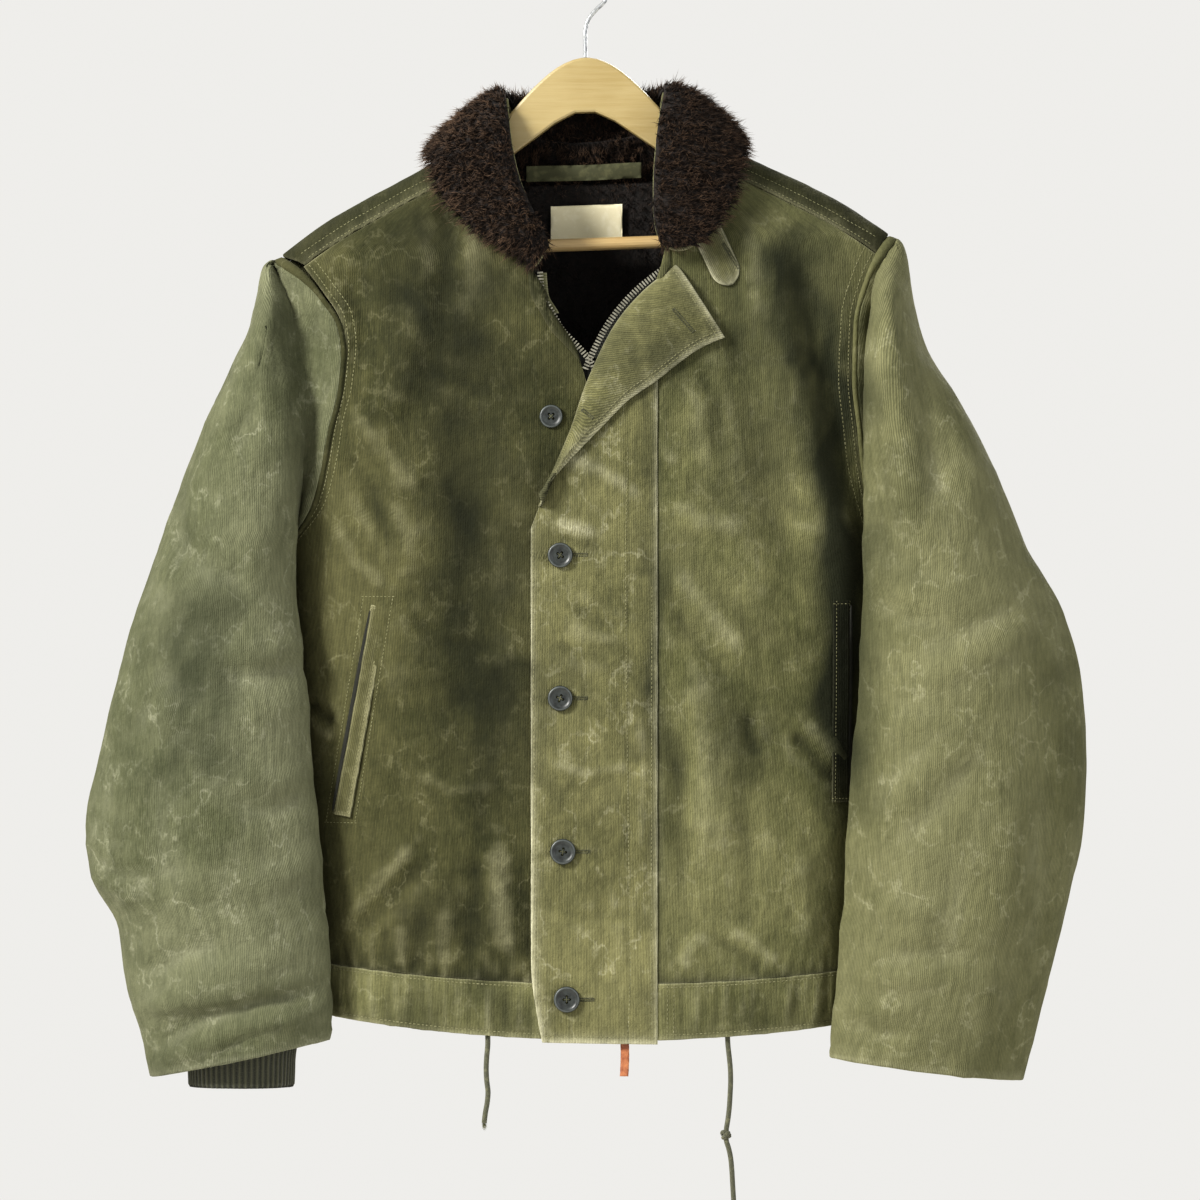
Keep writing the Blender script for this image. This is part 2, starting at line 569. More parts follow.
# Creases placed by hand: (height, half width, points), mm, a soft ridge or trough along each path
def creases(table, x, z):
    total = np.zeros(np.shape(x))
    wobble = 2.2 * noise2(x / 17, z / 17, 5) + 0.8 * noise2(x / 6, z / 6, 6)
    for height, width, points in table:
        path = np.array(points, dtype=float)
        spans = np.linalg.norm(np.diff(path, axis=0), axis=1)
        starts = np.concatenate([[0], np.cumsum(spans)])
        best = np.full(np.shape(x), 1e9)
        share = np.zeros(np.shape(x))
        for k, span in enumerate(spans):
            d = (path[k + 1] - path[k]) / span
            along = np.clip((x - path[k, 0]) * d[0] + (z - path[k, 1]) * d[1], 0, span)
            off = np.hypot(x - path[k, 0] - along * d[0], z - path[k, 1] - along * d[1])
            near = off < best
            best = np.where(near, off, best)
            share = np.where(near, (starts[k] + along) / starts[-1], share)
        fade = np.clip(np.minimum(share, 1 - share) * 5, 0.25, 1)
        size = 1.3 * width * (0.55 + 0.45 * fade)
        off = np.maximum(0, best + wobble * min(1, width / 7))
        total += height * fade * np.exp(-((off / size) ** 2) * 1.2)
    return total


# Faded (positive) and soiled or shaded (negative) places, by hand: (x, z, half width, half height, amount)
FADES = [
    (-110, -262, 60, 88, -0.72), (-92, -440, 52, 110, -0.72), (-70, -585, 40, 90, -0.6),
    (-150, -470, 30, 90, 0.3), (-130, -640, 50, 50, 0.3), (-110, -740, 80, 34, -0.45),
    (-178, -730, 24, 60, 0.4), (-40, -690, 16, 90, 0.3), (-190, -390, 20, 80, 0.35),
    (160, -290, 42, 95, -0.86), (196, -440, 22, 150, -1.0), (200, -570, 16, 90, -0.8),
    (130, -220, 50, 40, -0.3), (120, -380, 26, 60, -0.3), (54, -560, 9, 210, -0.5),
    (92, -470, 26, 120, -0.12), (128, -600, 28, 70, -0.45), (118, -715, 60, 60, 0.36),
    (-110, -808, 120, 20, -0.35), (140, -808, 80, 20, -0.35), (180, -700, 24, 60, 0.1),
    (0, -600, 44, 120, -0.05), (4, -770, 46, 60, 0.25), (-20, -470, 30, 50, 0.1),
    (-236, -300, 26, 60, -0.25), (-300, -400, 34, 70, 0.1), (-228, -590, 26, 170, 1.15),
    (-292, -545, 36, 100, -0.75), (-345, -620, 26, 90, -0.1), (-270, -740, 60, 70, 0.42),
    (-290, -835, 50, 22, -0.2), (262, -300, 18, 80, 0.35), (300, -400, 50, 80, 0.1),
    (290, -560, 60, 120, 0.3), (270, -740, 60, 90, 0.65), (225, -560, 12, 240, -0.25),
    (372, -600, 16, 120, -0.2), (246, -420, 10, 70, -0.4), (40, -305, 60, 40, -0.5),
]


def spot(across, up, wide, high):
    return np.exp(-((across / wide) ** 2 + (up / high) ** 2))


def tone_at(x, z):
    x, z = x + 16 * noise2(x / 46, z / 60, 111), z + 22 * noise2(x / 60, z / 50, 112)
    total = 0.2 * noise2(x / 30, z / 44, 113) + 0.16 * noise2(x / 12, z / 22, 114)
    for at_x, at_z, wide, high, amount in FADES:
        total = total + amount * spot(x - at_x, z - at_z, wide, high)
    return np.clip(total, -1, 1)


# The unevenness of worn cotton: wide swells, middling dents, sharper folds and a fine ripple
def rumple(x, z, seed, amount=1.0, fine=0.35, crease=0.5):
    bend = 9 * noise2(x / 70, z / 70, seed)
    wide = 1.3 * noise2((x + bend) / 62, (z - bend) / 88, seed + 1)
    middle = 0.8 * noise2((x - bend) / 24, z / 31, seed + 2)
    folds = 1 - 2.4 * np.abs(noise2((x + bend) / 21, (z + bend) / 27, seed + 3))
    small = noise2(x / 8.5, z / 10, seed + 4)
    sharp = crease * folds * (0.6 + 0.4 * noise2(x / 90, z / 90, seed + 5))
    return amount * (wide + middle + sharp + fine * small)


def ticks(length, step):
    even = np.linspace(0, 1, max(2, int(math.ceil(length / step)) + 1))
    near = np.array([0.45, 1.1, 2.1]) / length
    if length < 14:
        return even
    inner = even[(even > 3 / length) & (even < 1 - 3 / length)]
    return np.unique(np.concatenate([[0], near, inner, 1 - near[::-1], [1]]))


def soften(values, times):
    for _ in range(times):
        p = np.pad(values, 1, mode="edge")
        values = (p[:-2, 1:-1] + p[2:, 1:-1] + p[1:-1, :-2] + p[1:-1, 2:] + 2 * values) / 6
    return values


def normals_of(points):
    across = np.gradient(points, axis=1)
    down = np.gradient(points, axis=0)
    out = np.cross(across, down)
    return out / np.maximum(np.linalg.norm(out, axis=-1, keepdims=True), 1e-9)


def lengths(points, axis):
    step = np.linalg.norm(np.diff(points, axis=axis), axis=-1)
    pad = [(0, 0), (0, 0)]
    pad[axis] = (1, 0)
    return np.cumsum(np.pad(step, pad), axis=axis)


def both_gaps(points, axis):
    """Distances over a grid from the two edges that face each other along an axis."""
    near = lengths(points, axis)
    whole = near[-1:] if axis == 0 else near[:, -1:]
    return near, whole - near


def add_values(obj, name, values):
    made = obj.data.attributes.new(name, "FLOAT", "POINT")
    made.data.foreach_set("value", np.asarray(values, dtype=np.float32))


def ring_faces(count, sides):
    """Quads between each ring of corners and the next ring."""
    faces = []
    for j in range(count - 1):
        for i in range(sides):
            k = (i + 1) % sides
            faces.append([j * sides + i, j * sides + k, (j + 1) * sides + k, (j + 1) * sides + i])
    return faces


def finished(obj, material, smooth=True):
    obj.data.materials.append(material)
    for polygon in obj.data.polygons:
        polygon.use_smooth = smooth
    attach(obj, "root")
    return obj


def mesh_object(name, points, faces):
    """points in millimetres, faces as an array of quads or a list."""
    data = bpy.data.meshes.new(name)
    faces = faces.tolist() if hasattr(faces, "tolist") else faces
    data.from_pydata((np.asarray(points) * MM).tolist(), [], faces)
    data.validate()
    obj = bpy.data.objects.new(name, data)
    bpy.context.scene.collection.objects.link(obj)
    return obj


def every_other(count):
    return sorted({*range(0, count, 2), count - 1})


def mirrored(picks):
    return [picks[-1] - pick for pick in reversed(picks)]


def cells(grid):
    quads = [grid[:-1, :-1], grid[:-1, 1:], grid[1:, 1:], grid[1:, :-1]]
    return np.stack(quads, axis=-1).reshape(-1, 4).tolist()


def rim_faces(outer, inner, picks):
    """Faces that close a cloth's edge, from its fine outer side to its coarser inner one."""
    outer, inner = outer.tolist(), inner.tolist()
    return [[outer[a], inner[k], inner[k + 1], *outer[a + 1:b + 1][::-1]]
            for k, (a, b) in enumerate(zip(picks, picks[1:]))]


class Cloth:
    """A closed cloth shell over a grid, with rounded edges, creases and wear, coarser on its inner side."""

    def __init__(self, name, points, facing, material, slot, relief=0.0, thick=CLOTH, cloth_uv=None,
                 hollow=0.0, wear=0.0, tone=0.0, edge_wear=(1, 1, 1, 1), edge_drop=(1, 1, 1, 1)):
        normal = normals_of(points)
        middle = normal[normal.shape[0] // 2, normal.shape[1] // 2]
        turn = -1 if float(np.dot(middle, facing)) < 0 else 1
        relief = np.broadcast_to(np.asarray(relief, dtype=float), points.shape[:2])
        across, down = lengths(points, 1), lengths(points, 0)
        sides = (*both_gaps(points, 1), *both_gaps(points, 0))
        edge = np.full(points.shape[:2], FAR)
        worn_edge = np.full(points.shape[:2], FAR)
        for distance, drops, wears in zip(sides, edge_drop, edge_wear):
            edge = np.minimum(edge, distance if drops else FAR)
            if wears:
                worn_edge = np.minimum(worn_edge, distance / wears)
        outer = points + normal * turn * relief[..., None]
        self.normal = normals_of(outer) * turn
        r = thick / 2
        drop = r - np.sqrt(np.maximum(0, r * r - np.maximum(0, r - edge) ** 2))
        self.outer = outer - self.normal * drop[..., None]
        inner = outer - self.normal * (thick - drop)[..., None]
        rows, columns = points.shape[:2]
        keep_rows, keep_columns = every_other(rows), every_other(columns)
        kept = np.ix_(keep_rows, keep_columns)
        index = np.arange(rows * columns).reshape(rows, columns)
        below = rows * columns + np.arange(len(keep_rows) * len(keep_columns)).reshape(len(keep_rows), -1)
        faces = cells(index) + [face[::-1] for face in cells(below)]
        faces += rim_faces(index[0], below[0], keep_columns)
        faces += rim_faces(index[:, -1], below[:, -1], keep_rows)
        faces += rim_faces(index[-1, ::-1], below[-1, ::-1], mirrored(keep_columns))
        faces += rim_faces(index[::-1, 0], below[::-1, 0], mirrored(keep_rows))
        if turn < 0:
            faces = [face[::-1] for face in faces]
        everything = np.concatenate([self.outer.reshape(-1, 3), inner[kept].reshape(-1, 3)])
        self.object = mesh_object(name, everything, faces)
        flat = cloth_uv if cloth_uv is not None else stack(across, down)
        self.add_uv(np.concatenate([flat.reshape(-1, 2), flat[kept].reshape(-1, 2)]) * MM)
        around = soften(relief, 9)
        ridge = np.clip((relief - around - 0.12) / 1.3, 0, 1)
        dip = np.clip((around - relief - 0.05) / 1.3, 0, 1)
        rubbed = np.clip(0.9 * np.exp(-worn_edge / 1.5) + 0.6 * ridge + wear, 0, 1)
        deep = np.clip(0.6 * dip + hollow, 0, 1)
        over = tone_at(outer[..., 0], outer[..., 2]) if facing[1] < 0 else 0.15 * rumple(across, down, 115)
        over = np.clip(over + tone, -1, 1)
        add_values(self.object, "tone", np.concatenate([over.ravel(), over[kept].ravel()]))
        add_values(self.object, "wear", np.concatenate([rubbed.ravel(), rubbed[kept].ravel() * 0.2]))
        add_values(self.object, "hollow", np.concatenate([deep.ravel(), np.full(below.size, INNER_SHADE)]))
        finished(self.object, material)
        self.sides = sides

    def add_uv(self, flat):
        layer = self.object.data.uv_layers.new(name="cloth")
        corner = np.zeros(len(self.object.data.loops), dtype=np.int32)
        self.object.data.loops.foreach_get("vertex_index", corner)
        layer.data.foreach_set("uv", flat[corner].astype(np.float32).ravel())

    def along_edge(self, side, inset, start=0.0, end=1.0):
        """Points and normals of a line set in from an edge: side 0 left, 1 right, 2 top, 3 bottom."""
        distance = self.sides[side]
        lines = range(distance.shape[0]) if side < 2 else range(distance.shape[1])
        places, ups = [], []
        for k in lines:
            if side < 2:
                d, p, n = distance[k], self.outer[k], self.normal[k]
            else:
                d, p, n = distance[:, k], self.outer[:, k], self.normal[:, k]
            order = np.argsort(d)
            d, p, n = d[order], p[order], n[order]
            places.append([np.interp(inset, d, p[:, c]) for c in range(3)])
            ups.append([np.interp(inset, d, n[:, c]) for c in range(3)])
        places, ups = np.array(places), np.array(ups)
        n = len(places)
        chosen = slice(int(round(start * (n - 1))), int(round(end * (n - 1))) + 1)
        return places[chosen], ups[chosen]

    def at(self, x, z):
        """The point and normal over a place seen from the front or the back."""
        flat, up = self.outer.reshape(-1, 3), self.normal.reshape(-1, 3)
        off = (flat[:, 0] - x) ** 2 + (flat[:, 2] - z) ** 2
        near = np.argsort(off)[:4]
        weight = 1 / (off[near] + 0.05)
        weight /= weight.sum()
        normal = (up[near] * weight[:, None]).sum(axis=0)
        normal /= np.linalg.norm(normal)
        base = (flat[near] * weight[:, None]).sum(axis=0)
        y = base[1] - ((x - base[0]) * normal[0] + (z - base[2]) * normal[2]) / (normal[1] or 1e-6)
        return np.array([x, y, z]), normal

    def line(self, points, step=3.0):
        path = np.array(points, dtype=float)
        spans = np.concatenate([[0], np.cumsum(np.linalg.norm(np.diff(path, axis=0), axis=1))])
        where = np.linspace(0, spans[-1], max(2, int(spans[-1] / step) + 1))
        found = [self.at(np.interp(s, spans, path[:, 0]), np.interp(s, spans, path[:, 1])) for s in where]
        return np.array([p for p, _ in found]), np.array([n for _, n in found])


# Waist drawcord: both free ends hang under the hem; the routes are the CAD part's
CORD_RIGHT = [(-75, -43.4, -820), (-75, -43.4, -826), (-75, -43.7, -833), (-75.8, -44, -842),
              (-76.2, -44.4, -851), (-75.8, -44.6, -860), (-74.8, -44.4, -869), (-75.4, -44, -877),
              (-76.8, -43.6, -885), (-77.8, -43.4, -893)]
CORD_LEFT = [(110, -39.6, -820), (110, -39.6, -826), (110.4, -39.8, -834), (111.4, -40.1, -843),
             (112.2, -40.4, -852), (112.4, -40.6, -861), (112, -40.6, -871), (111.4, -40.4, -881),
             (110.4, -40.1, -890), (109.2, -39.9, -897.5), (108.8, -39.8, -902.6), (109.2, -39.8, -907.6),
             (110.6, -39.9, -912), (112.2, -40.1, -919), (113.2, -40.4, -928), (113.8, -40.6, -938),
             (114.4, -40.6, -948), (115, -40.4, -958), (115.2, -40.3, -964)]
KNOT = (108.8, -39.8, -902.6)


def braid(name, mid, deep, pale):
    """Braided cord: crossing strands one and a half millimetres apart, with fluff and grime."""
    look = Look(name)
    place = look.space()
    strands = []
    for tilt in (0.75, -0.75):
        turned = look.mapped(place, Rotation=(0.0, tilt, 0.0))
        strands.append(look.wave(turned, 0.0009, "Z", Distortion=0.4))
    relief = look.math("MAXIMUM", strands[0], strands[1])
    grime = look.noise(place, 260.0, 4.0)
    color = look.mix(look.range(relief, 0.2, 0.9), deep, mid)
    color = look.mix(look.range(grime, 0.52, 0.75, 0.0, 0.6), color, pale)
    look.set(Base_Color=color, Roughness=0.88, Sheen_Weight=0.2, Normal=look.bump(relief, 0.9, 0.0007))
    return look.material


cord_look = braid("braided_drawcord", "#55563a", "#26271a", "#8b8965")


def tube(name, path, radius, sides, material):
    """A closed tube along a path of points, one radius to each point."""
    path = np.asarray(path, dtype=float)
    along = np.gradient(path, axis=0)
    along /= np.linalg.norm(along, axis=1, keepdims=True)
    side = np.cross(along[0], [0.31, 0.9, 0.2])
    rings = []
    for p, d, r in zip(path, along, np.broadcast_to(radius, len(path))):
        side = side - d * np.dot(side, d)
        side = side / np.linalg.norm(side)
        other = np.cross(d, side)
        turn = np.linspace(0, 2 * math.pi, sides, endpoint=False)[:, None]
        rings.append(p + r * (np.cos(turn) * side + np.sin(turn) * other))
    count = len(path)
    faces = ring_faces(count, sides)
    faces += [list(range(sides))[::-1], [(count - 1) * sides + i for i in range(sides)]]
    return finished(mesh_object(name, np.concatenate(rings), faces), material)


def cord_curve(name, route):
    points = [np.array(p, dtype=float) for p in route]
    fine = smooth_path(points, np.linspace(0, 1, 8 * len(points)))
    data = bpy.data.curves.new(name, "CURVE")
    data.dimensions = "3D"
    data.bevel_depth = CORD_RADIUS
    data.bevel_resolution = 5
    data.use_fill_caps = True
    spline = data.splines.new("POLY")
    spline.points.add(len(fine) - 1)
    for place, p in zip(spline.points, fine * MM):
        place.co = (*p, 1)
    obj = bpy.data.objects.new(name, data)
    bpy.context.scene.collection.objects.link(obj)
    data.materials.append(cord_look)
    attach(obj, "root")
    length = float(np.linalg.norm(np.diff(fine, axis=0), axis=1).sum()) * MM
    return obj, length


def frayed(name, end, seed):
    rng = np.random.default_rng(seed)
    roots = np.array(end) + rng.normal(0, 0.75, (FRAYED_THREADS, 3))
    down = np.tile([0.0, 0.0, -1.2], (FRAYED_THREADS, 1))
    return blades(name, roots, down, 4.2, 0.16, rng, fray_look, 9.0, 0.25)


# Sewing thread: each stitch is a small rounded bead lying along its seam
stitch_parts = {}


def stitch_run(bucket, points, normals, pitch=3.3, length=2.5, width=0.42, sink=0.12):
    spans = np.concatenate([[0], np.cumsum(np.linalg.norm(np.diff(points, axis=0), axis=1))])
    count = int(spans[-1] / pitch)
    if count < 1:
        return
    where = (np.arange(count) + 0.5) * spans[-1] / count

    def pick(values, s):
        return np.stack([np.interp(s, spans, values[:, c]) for c in range(3)], axis=1)

    middle, up = pick(points, where), pick(normals, where)
    along = pick(points, where + length / 2) - pick(points, where - length / 2)
    along /= np.maximum(np.linalg.norm(along, axis=1, keepdims=True), 1e-6)
    side = np.cross(up, along)
    base = middle - up * sink
    half = length / 2
    ring = []
    for share in (-0.32, 0.32):
        for a, b in ((-1, 0.1), (0, 1), (1, 0.1), (0, -0.6)):
            ring.append(base + along * half * 2 * share + side * a * width + up * b * width)
    points = np.stack([base - along * half, *ring, base + along * half], axis=1)
    stitch_parts.setdefault(bucket, []).append(points.reshape(-1, 3))


STITCH_FACES = [(0, 2, 1), (0, 3, 2), (0, 4, 3), (0, 1, 4), (1, 2, 6, 5), (2, 3, 7, 6), (3, 4, 8, 7),
                (4, 1, 5, 8), (9, 5, 6), (9, 6, 7), (9, 7, 8), (9, 8, 5)]


def sew(bucket, material):
    points = np.concatenate(stitch_parts[bucket])
    faces = [[10 * k + i for i in face] for k in range(len(points) // 10) for face in STITCH_FACES]
    return finished(mesh_object("stitches_" + bucket, points, faces), material)


# Pile: thin tapered blades, each with a bend, rooted on a grid of points
def scatter(points, count, rng):
    a, b = points[:-1, :-1].reshape(-1, 3), points[:-1, 1:].reshape(-1, 3)
    c, d = points[1:, :-1].reshape(-1, 3), points[1:, 1:].reshape(-1, 3)
    area = np.linalg.norm(np.cross(b - a, c - a), axis=1)
    cell = rng.choice(len(area), count, p=area / area.sum())
    u, v = rng.random((2, count, 1))
    return (a[cell] * (1 - u) + b[cell] * u) * (1 - v) + (c[cell] * (1 - u) + d[cell] * u) * v, cell


def blades(name, roots, lean_to, length, width, rng, material, tuft=7.0, spread=0.5):
    """Blades gather into tufts: those in one cell of the tuft size lean together."""
    count = len(roots)
    cell = np.floor(roots / tuft).astype(int)
    key = (cell[:, 0] * 73 + cell[:, 1] * 179 + cell[:, 2] * 283) % TUFTS
    shared = rng.normal(0, spread, (TUFTS, 3))[key]
    tone = rng.random(TUFTS)[key]
    centre = (cell + 0.5) * tuft
    pull = (centre - roots) / tuft * 0.5
    way = lean_to + shared + pull + rng.normal(0, 0.16, (count, 3))
    way /= np.linalg.norm(way, axis=1, keepdims=True)
    long = length * rng.uniform(0.7, 1.15, (count, 1)) * (0.8 + 0.4 * tone[:, None])
    side = np.cross(way, rng.normal(0, 1, (count, 3)))
    side /= np.maximum(np.linalg.norm(side, axis=1, keepdims=True), 1e-6)
    other = np.cross(way, side)
    bend = rng.normal(0, 0.22, (count, 3)) + np.array([0, 0, -0.16])
    rings = []
    for share, size, off in ((0.0, 1.0, 0.0), (0.55, 0.72, 0.3)):
        middle = roots + way * long * share + bend * long * off
        for k in range(3):
            turn = 2 * math.pi * k / 3
            rings.append(middle + (side * math.cos(turn) + other * math.sin(turn)) * width * size)
    points = np.stack([*rings, roots + way * long + bend * long], axis=1).reshape(-1, 3)
    pattern = ((0, 1, 4, 3), (1, 2, 5, 4), (2, 0, 3, 5), (3, 4, 6), (4, 5, 6), (5, 3, 6))
    faces = [[7 * k + i for i in face] for k in range(count) for face in pattern]
    obj = mesh_object(name, points, faces)
    for label, values in (("tip", np.tile([0, 0, 0, 0.55, 0.55, 0.55, 1.0], count)),
                          ("tone", np.repeat(tone, 7))):
        add_values(obj, label, values)
    return finished(obj, material)


def pile(name, root, middle, tip):
    """Brown pile: dark at the root and lighter at the tips, each tuft its own tone."""
    look = Look(name)
    tone = look.value("tone")
    color = look.mix(look.range(look.value("tip"), 0.1, 0.65), root, middle)
    near_tip = look.range(look.value("tip"), 0.5, 1.0)
    ends = look.math("MULTIPLY", near_tip, look.range(tone, 0.15, 1.0, 0.05, 0.95))
    color = look.mix(ends, color, tip)
    look.set(Base_Color=color, Roughness=0.7, Sheen_Weight=0.04, Sheen_Tint="#8a7a6a")
    look.shader.inputs["Specular IOR Level"].default_value = 0.2
    return look.material


def backing(name, dark, light):
    """The pile's dark knitted ground seen between the tufts."""
    look = Look(name)
    place = look.space()
    clumps = look.noise(place, 240.0, 4.0, 0.7)
    look.set(Base_Color=look.mix(look.range(clumps, 0.4, 0.75), dark, light), Roughness=0.95)
    look.set(Normal=look.bump(clumps, 1.0, 0.004))
    return look.material


# A profile turned round the depth axis, for buttons and their holes
def revolve(profile, sides):
    turn = np.linspace(0, 2 * math.pi, sides, endpoint=False)
    points = []
    for r, h in profile:
        points.append(np.stack([r * np.cos(turn), np.full(sides, -h), r * np.sin(turn)], axis=1))
    faces = ring_faces(len(profile), sides)
    faces.append(list(range(sides)))
    faces.append([(len(profile) - 1) * sides + i for i in reversed(range(sides))])
    return np.concatenate(points), faces


# A ribbon laid along a line on the front, or on the back
def strip_surface(start, end, half, lift, face=-1):
    dx, dz = end[0] - start[0], end[1] - start[1]
    length = math.hypot(dx, dz)

    def surface(u, v):
        w = half(u) * (2 * v - 1)
        x = start[0] + dx * u - dz / length * w
        z = start[1] + dz * u + dx / length * w
        return on_front(x, z, lift(x)) if face < 0 else on_back(x, z, lift(x))

    return surface


def gridded(surface, width, height, step):
    u, v = np.meshgrid(ticks(width, step), ticks(height, step))
    return surface(u, v), u, v


FORWARD = np.array([0, -1, 0])
BACKWARD = np.array([0, 1, 0])


# Length round a body ring from its middle, so that the cloth's cords run straight down
ring_turns = np.linspace(0, math.pi / 2, 200)
ring_points = stack(np.sin(ring_turns) ** (2 / ROUNDNESS), 0.25 * np.cos(ring_turns) ** (2 / ROUNDNESS))
ring_lengths = np.concatenate([[0], np.cumsum(np.linalg.norm(np.diff(ring_points, axis=0), axis=1))])


def body_uv(points):
    x = points[..., 0]
    z = points[..., 2] - x * lean(points[..., 2])
    turn = np.abs(angle_of(x, z))
    round_it = np.sign(x) * np.interp(turn, ring_turns, ring_lengths) * 228
    return stack(round_it, z)


fray_look = pile("cord_fray", "#3a3b28", "#5f603f", "#8b8965")
right_cord, right_length = cord_curve("drawcord_right_cord", CORD_RIGHT)
left_cord, left_length = cord_curve("drawcord_left_cord", CORD_LEFT)
turn = np.linspace(0, 2 * math.pi * 0.96, 90)
knot_path = np.stack([(2.15 + 0.9 * np.cos(1.5 * turn * 2)) * np.cos(2 * turn * 0.98 + 0.5),
                      (2.15 + 0.9 * np.cos(1.5 * turn * 2)) * np.sin(2 * turn * 0.98 + 0.5) * 0.85,
                      1.7 * np.sin(1.5 * turn * 2) + 0.25 * (turn - 3)], axis=1)
knot = tube("drawcord_knot_loops", np.array(KNOT) + knot_path, 1.75, 12, cord_look)
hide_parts("drawcord_right")
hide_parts("drawcord_left", "drawcord_left_tail")
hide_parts("drawcord_knot")
right_fray = frayed("drawcord_right_fray", CORD_RIGHT[-1], 51)
left_fray = frayed("drawcord_left_fray", CORD_LEFT[-1], 52)
tuple(v * MM for v in CORD_RIGHT[0])
tuple(v * MM for v in CORD_LEFT[0])


# Cloth panels
def body_patch(top, left, right, bottom, face, lift):
    def surface(u, v):
        def mixed(a, b):
            return [lerp(a[k], b[k], u) for k in (0, 1)]

        zero, one = np.zeros_like(v), np.ones_like(v)
        across = mixed(left(v), right(v))
        start = mixed(left(zero), right(zero))
        end = mixed(left(one), right(one))
        up, down = top(u), bottom(u)
        angle = across[0] + (1 - v) ** 2.5 * (up[0] - start[0]) + v ** 4 * (down[0] - end[0])
        z = across[1] + (1 - v) ** 2.5 * (up[1] - start[1]) + v ** 4 * (down[1] - end[1])
        return on_body(angle, z, face, lift(ring_x(angle, z)))

    return surface


PIT_ROW = 5 / 12


def row_height(v, top, foot):
    high = lerp(top, ARMPIT, np.maximum(v / PIT_ROW, 0) ** 1.4)
    return np.where(v < PIT_ROW, high, lerp(ARMPIT, foot, (v - PIT_ROW) / (1 - PIT_ROW)))


def outer_edge(side, extra=0, top=ARMHOLE_TOP):
    def edge(v):
        z = row_height(v, top, band_top(WAIST_HALF) + SEAM)
        seam = armhole_at[side](np.maximum(z, ARMPIT))[..., 1] + extra
        cut = np.minimum(seam, body_at(z)[..., 1] - 3) - SEAM
        below = np.clip((ARMPIT - z) / 14, 0, 1)
        return lerp(np.minimum(angle_of(cut, z), SIDE_SEAM), SIDE_SEAM, below), z

    return edge


def turned_to(side, points):
    if side == LEFT:
        return points
    flat = points[..., 2]
    for _ in range(4):
        flat = points[..., 2] - points[..., 0] * lean(flat)
    return settled(-points[..., 0], points[..., 1], flat)


def front_surface(side, neck, inner, lift):
    split = 0.3
    outer_x = float(armhole_at[side](ARMHOLE_TOP)[1]) - SEAM
    points = [np.array([x, 0, z], dtype=float) for x, z in neck]

    def top(u):
        flat = smooth_path(points, np.ravel(u) / split).reshape(*u.shape, 3)
        x = lerp(neck[-1][0], outer_x, (u - split) / (1 - split))
        x = np.where(u < split, flat[..., 0], x)
        z = np.where(u < split, flat[..., 2], seam_at(x)[..., 1] - SEAM)
        return angle_of(x, z), z

    edge = outer_edge(side)

    def bottom(u):
        one = np.ones_like(u)
        angle = lerp(inner(one)[0], edge(one)[0], u)
        return angle, band_top(ring_x(angle, BAND_TOP)) + SEAM

    patch = body_patch(top, inner, edge, bottom, -1, lift)
    return lambda u, v: turned_to(side, patch(u, v))


def as_ring(x, z):
    return angle_of(x, z), z


right_neck = [(44, -231), (38, -205), (46, -175), (58, -145), (73, -138.4)]
left_neck = [(66, -236), (64.6, -208), (64.2, -175), (66, -150), (73, -138.4)]
PLACKET_FOLD = 55.0


def right_inner(v):
    z = row_height(v, -231, band_top(14) + SEAM)
    return as_ring(-right_edge_at(z)[..., 1], z)


def left_inner(v):
    z = row_height(v, -236, band_top(PLACKET_FOLD) + SEAM)
    return as_ring(lerp(66, PLACKET_FOLD - 4, np.minimum(1, 9 * v)), z)


def left_lift(x):
    return lap_lift(x) - 2.9 * smooth_step((PLACKET_FOLD + 5 - x) / 7)


def front_relief(points, seed, table):
    x, z = points[..., 0], points[..., 2]
    soft = 0.75 + 0.5 * smooth_step((z + 720) / 60)
    return creases(table, x, z) * soft + 0.62 * rumple(x, z, seed, 1.0, 0.3, 0.3)


def seam_pucker(distance, along, seed, reach=9, amount=0.5):
    """Short ripples across a stitched seam."""
    return amount * np.exp(-((distance / reach) ** 2)) * noise2(along / 6.5, distance / 26, seed)


def flatter(distance, reach):
    return 0.25 + 0.75 * smooth_step(distance / reach)


def groove(distance, at, depth=0.5, width=1.5):
    return -depth * np.exp(-(((distance - at) / width) ** 2))


faded = cotton("jungle_cloth_body", "#575838", "#83815c", "#1b1e13")
sleeve_cloth_right = cotton("jungle_cloth_grey_sleeve", "#66694c", "#9a9b7c", "#23271a", "#c6c6ae", 1.1)
sleeve_cloth_left = cotton("jungle_cloth_sleeve", "#7b7a55", "#a3a17a", "#262919", "#c6c4a6", 1.1)
shaded = cotton("jungle_cloth_dark_front", "#36371f", "#5e5c3e", "#101309", "#a5a282")
pale_edge = cotton("jungle_cloth_placket", "#575638", "#87845d", "#20231a", "#dcd9bd")
thread = plain_weave("sewing_thread", "#7f7d5b", "#48482f", 0.0004, "#a5a284")
dark_thread = plain_weave("dark_thread", "#4f5038", "#26271b", 0.0004, "#7f7d62")

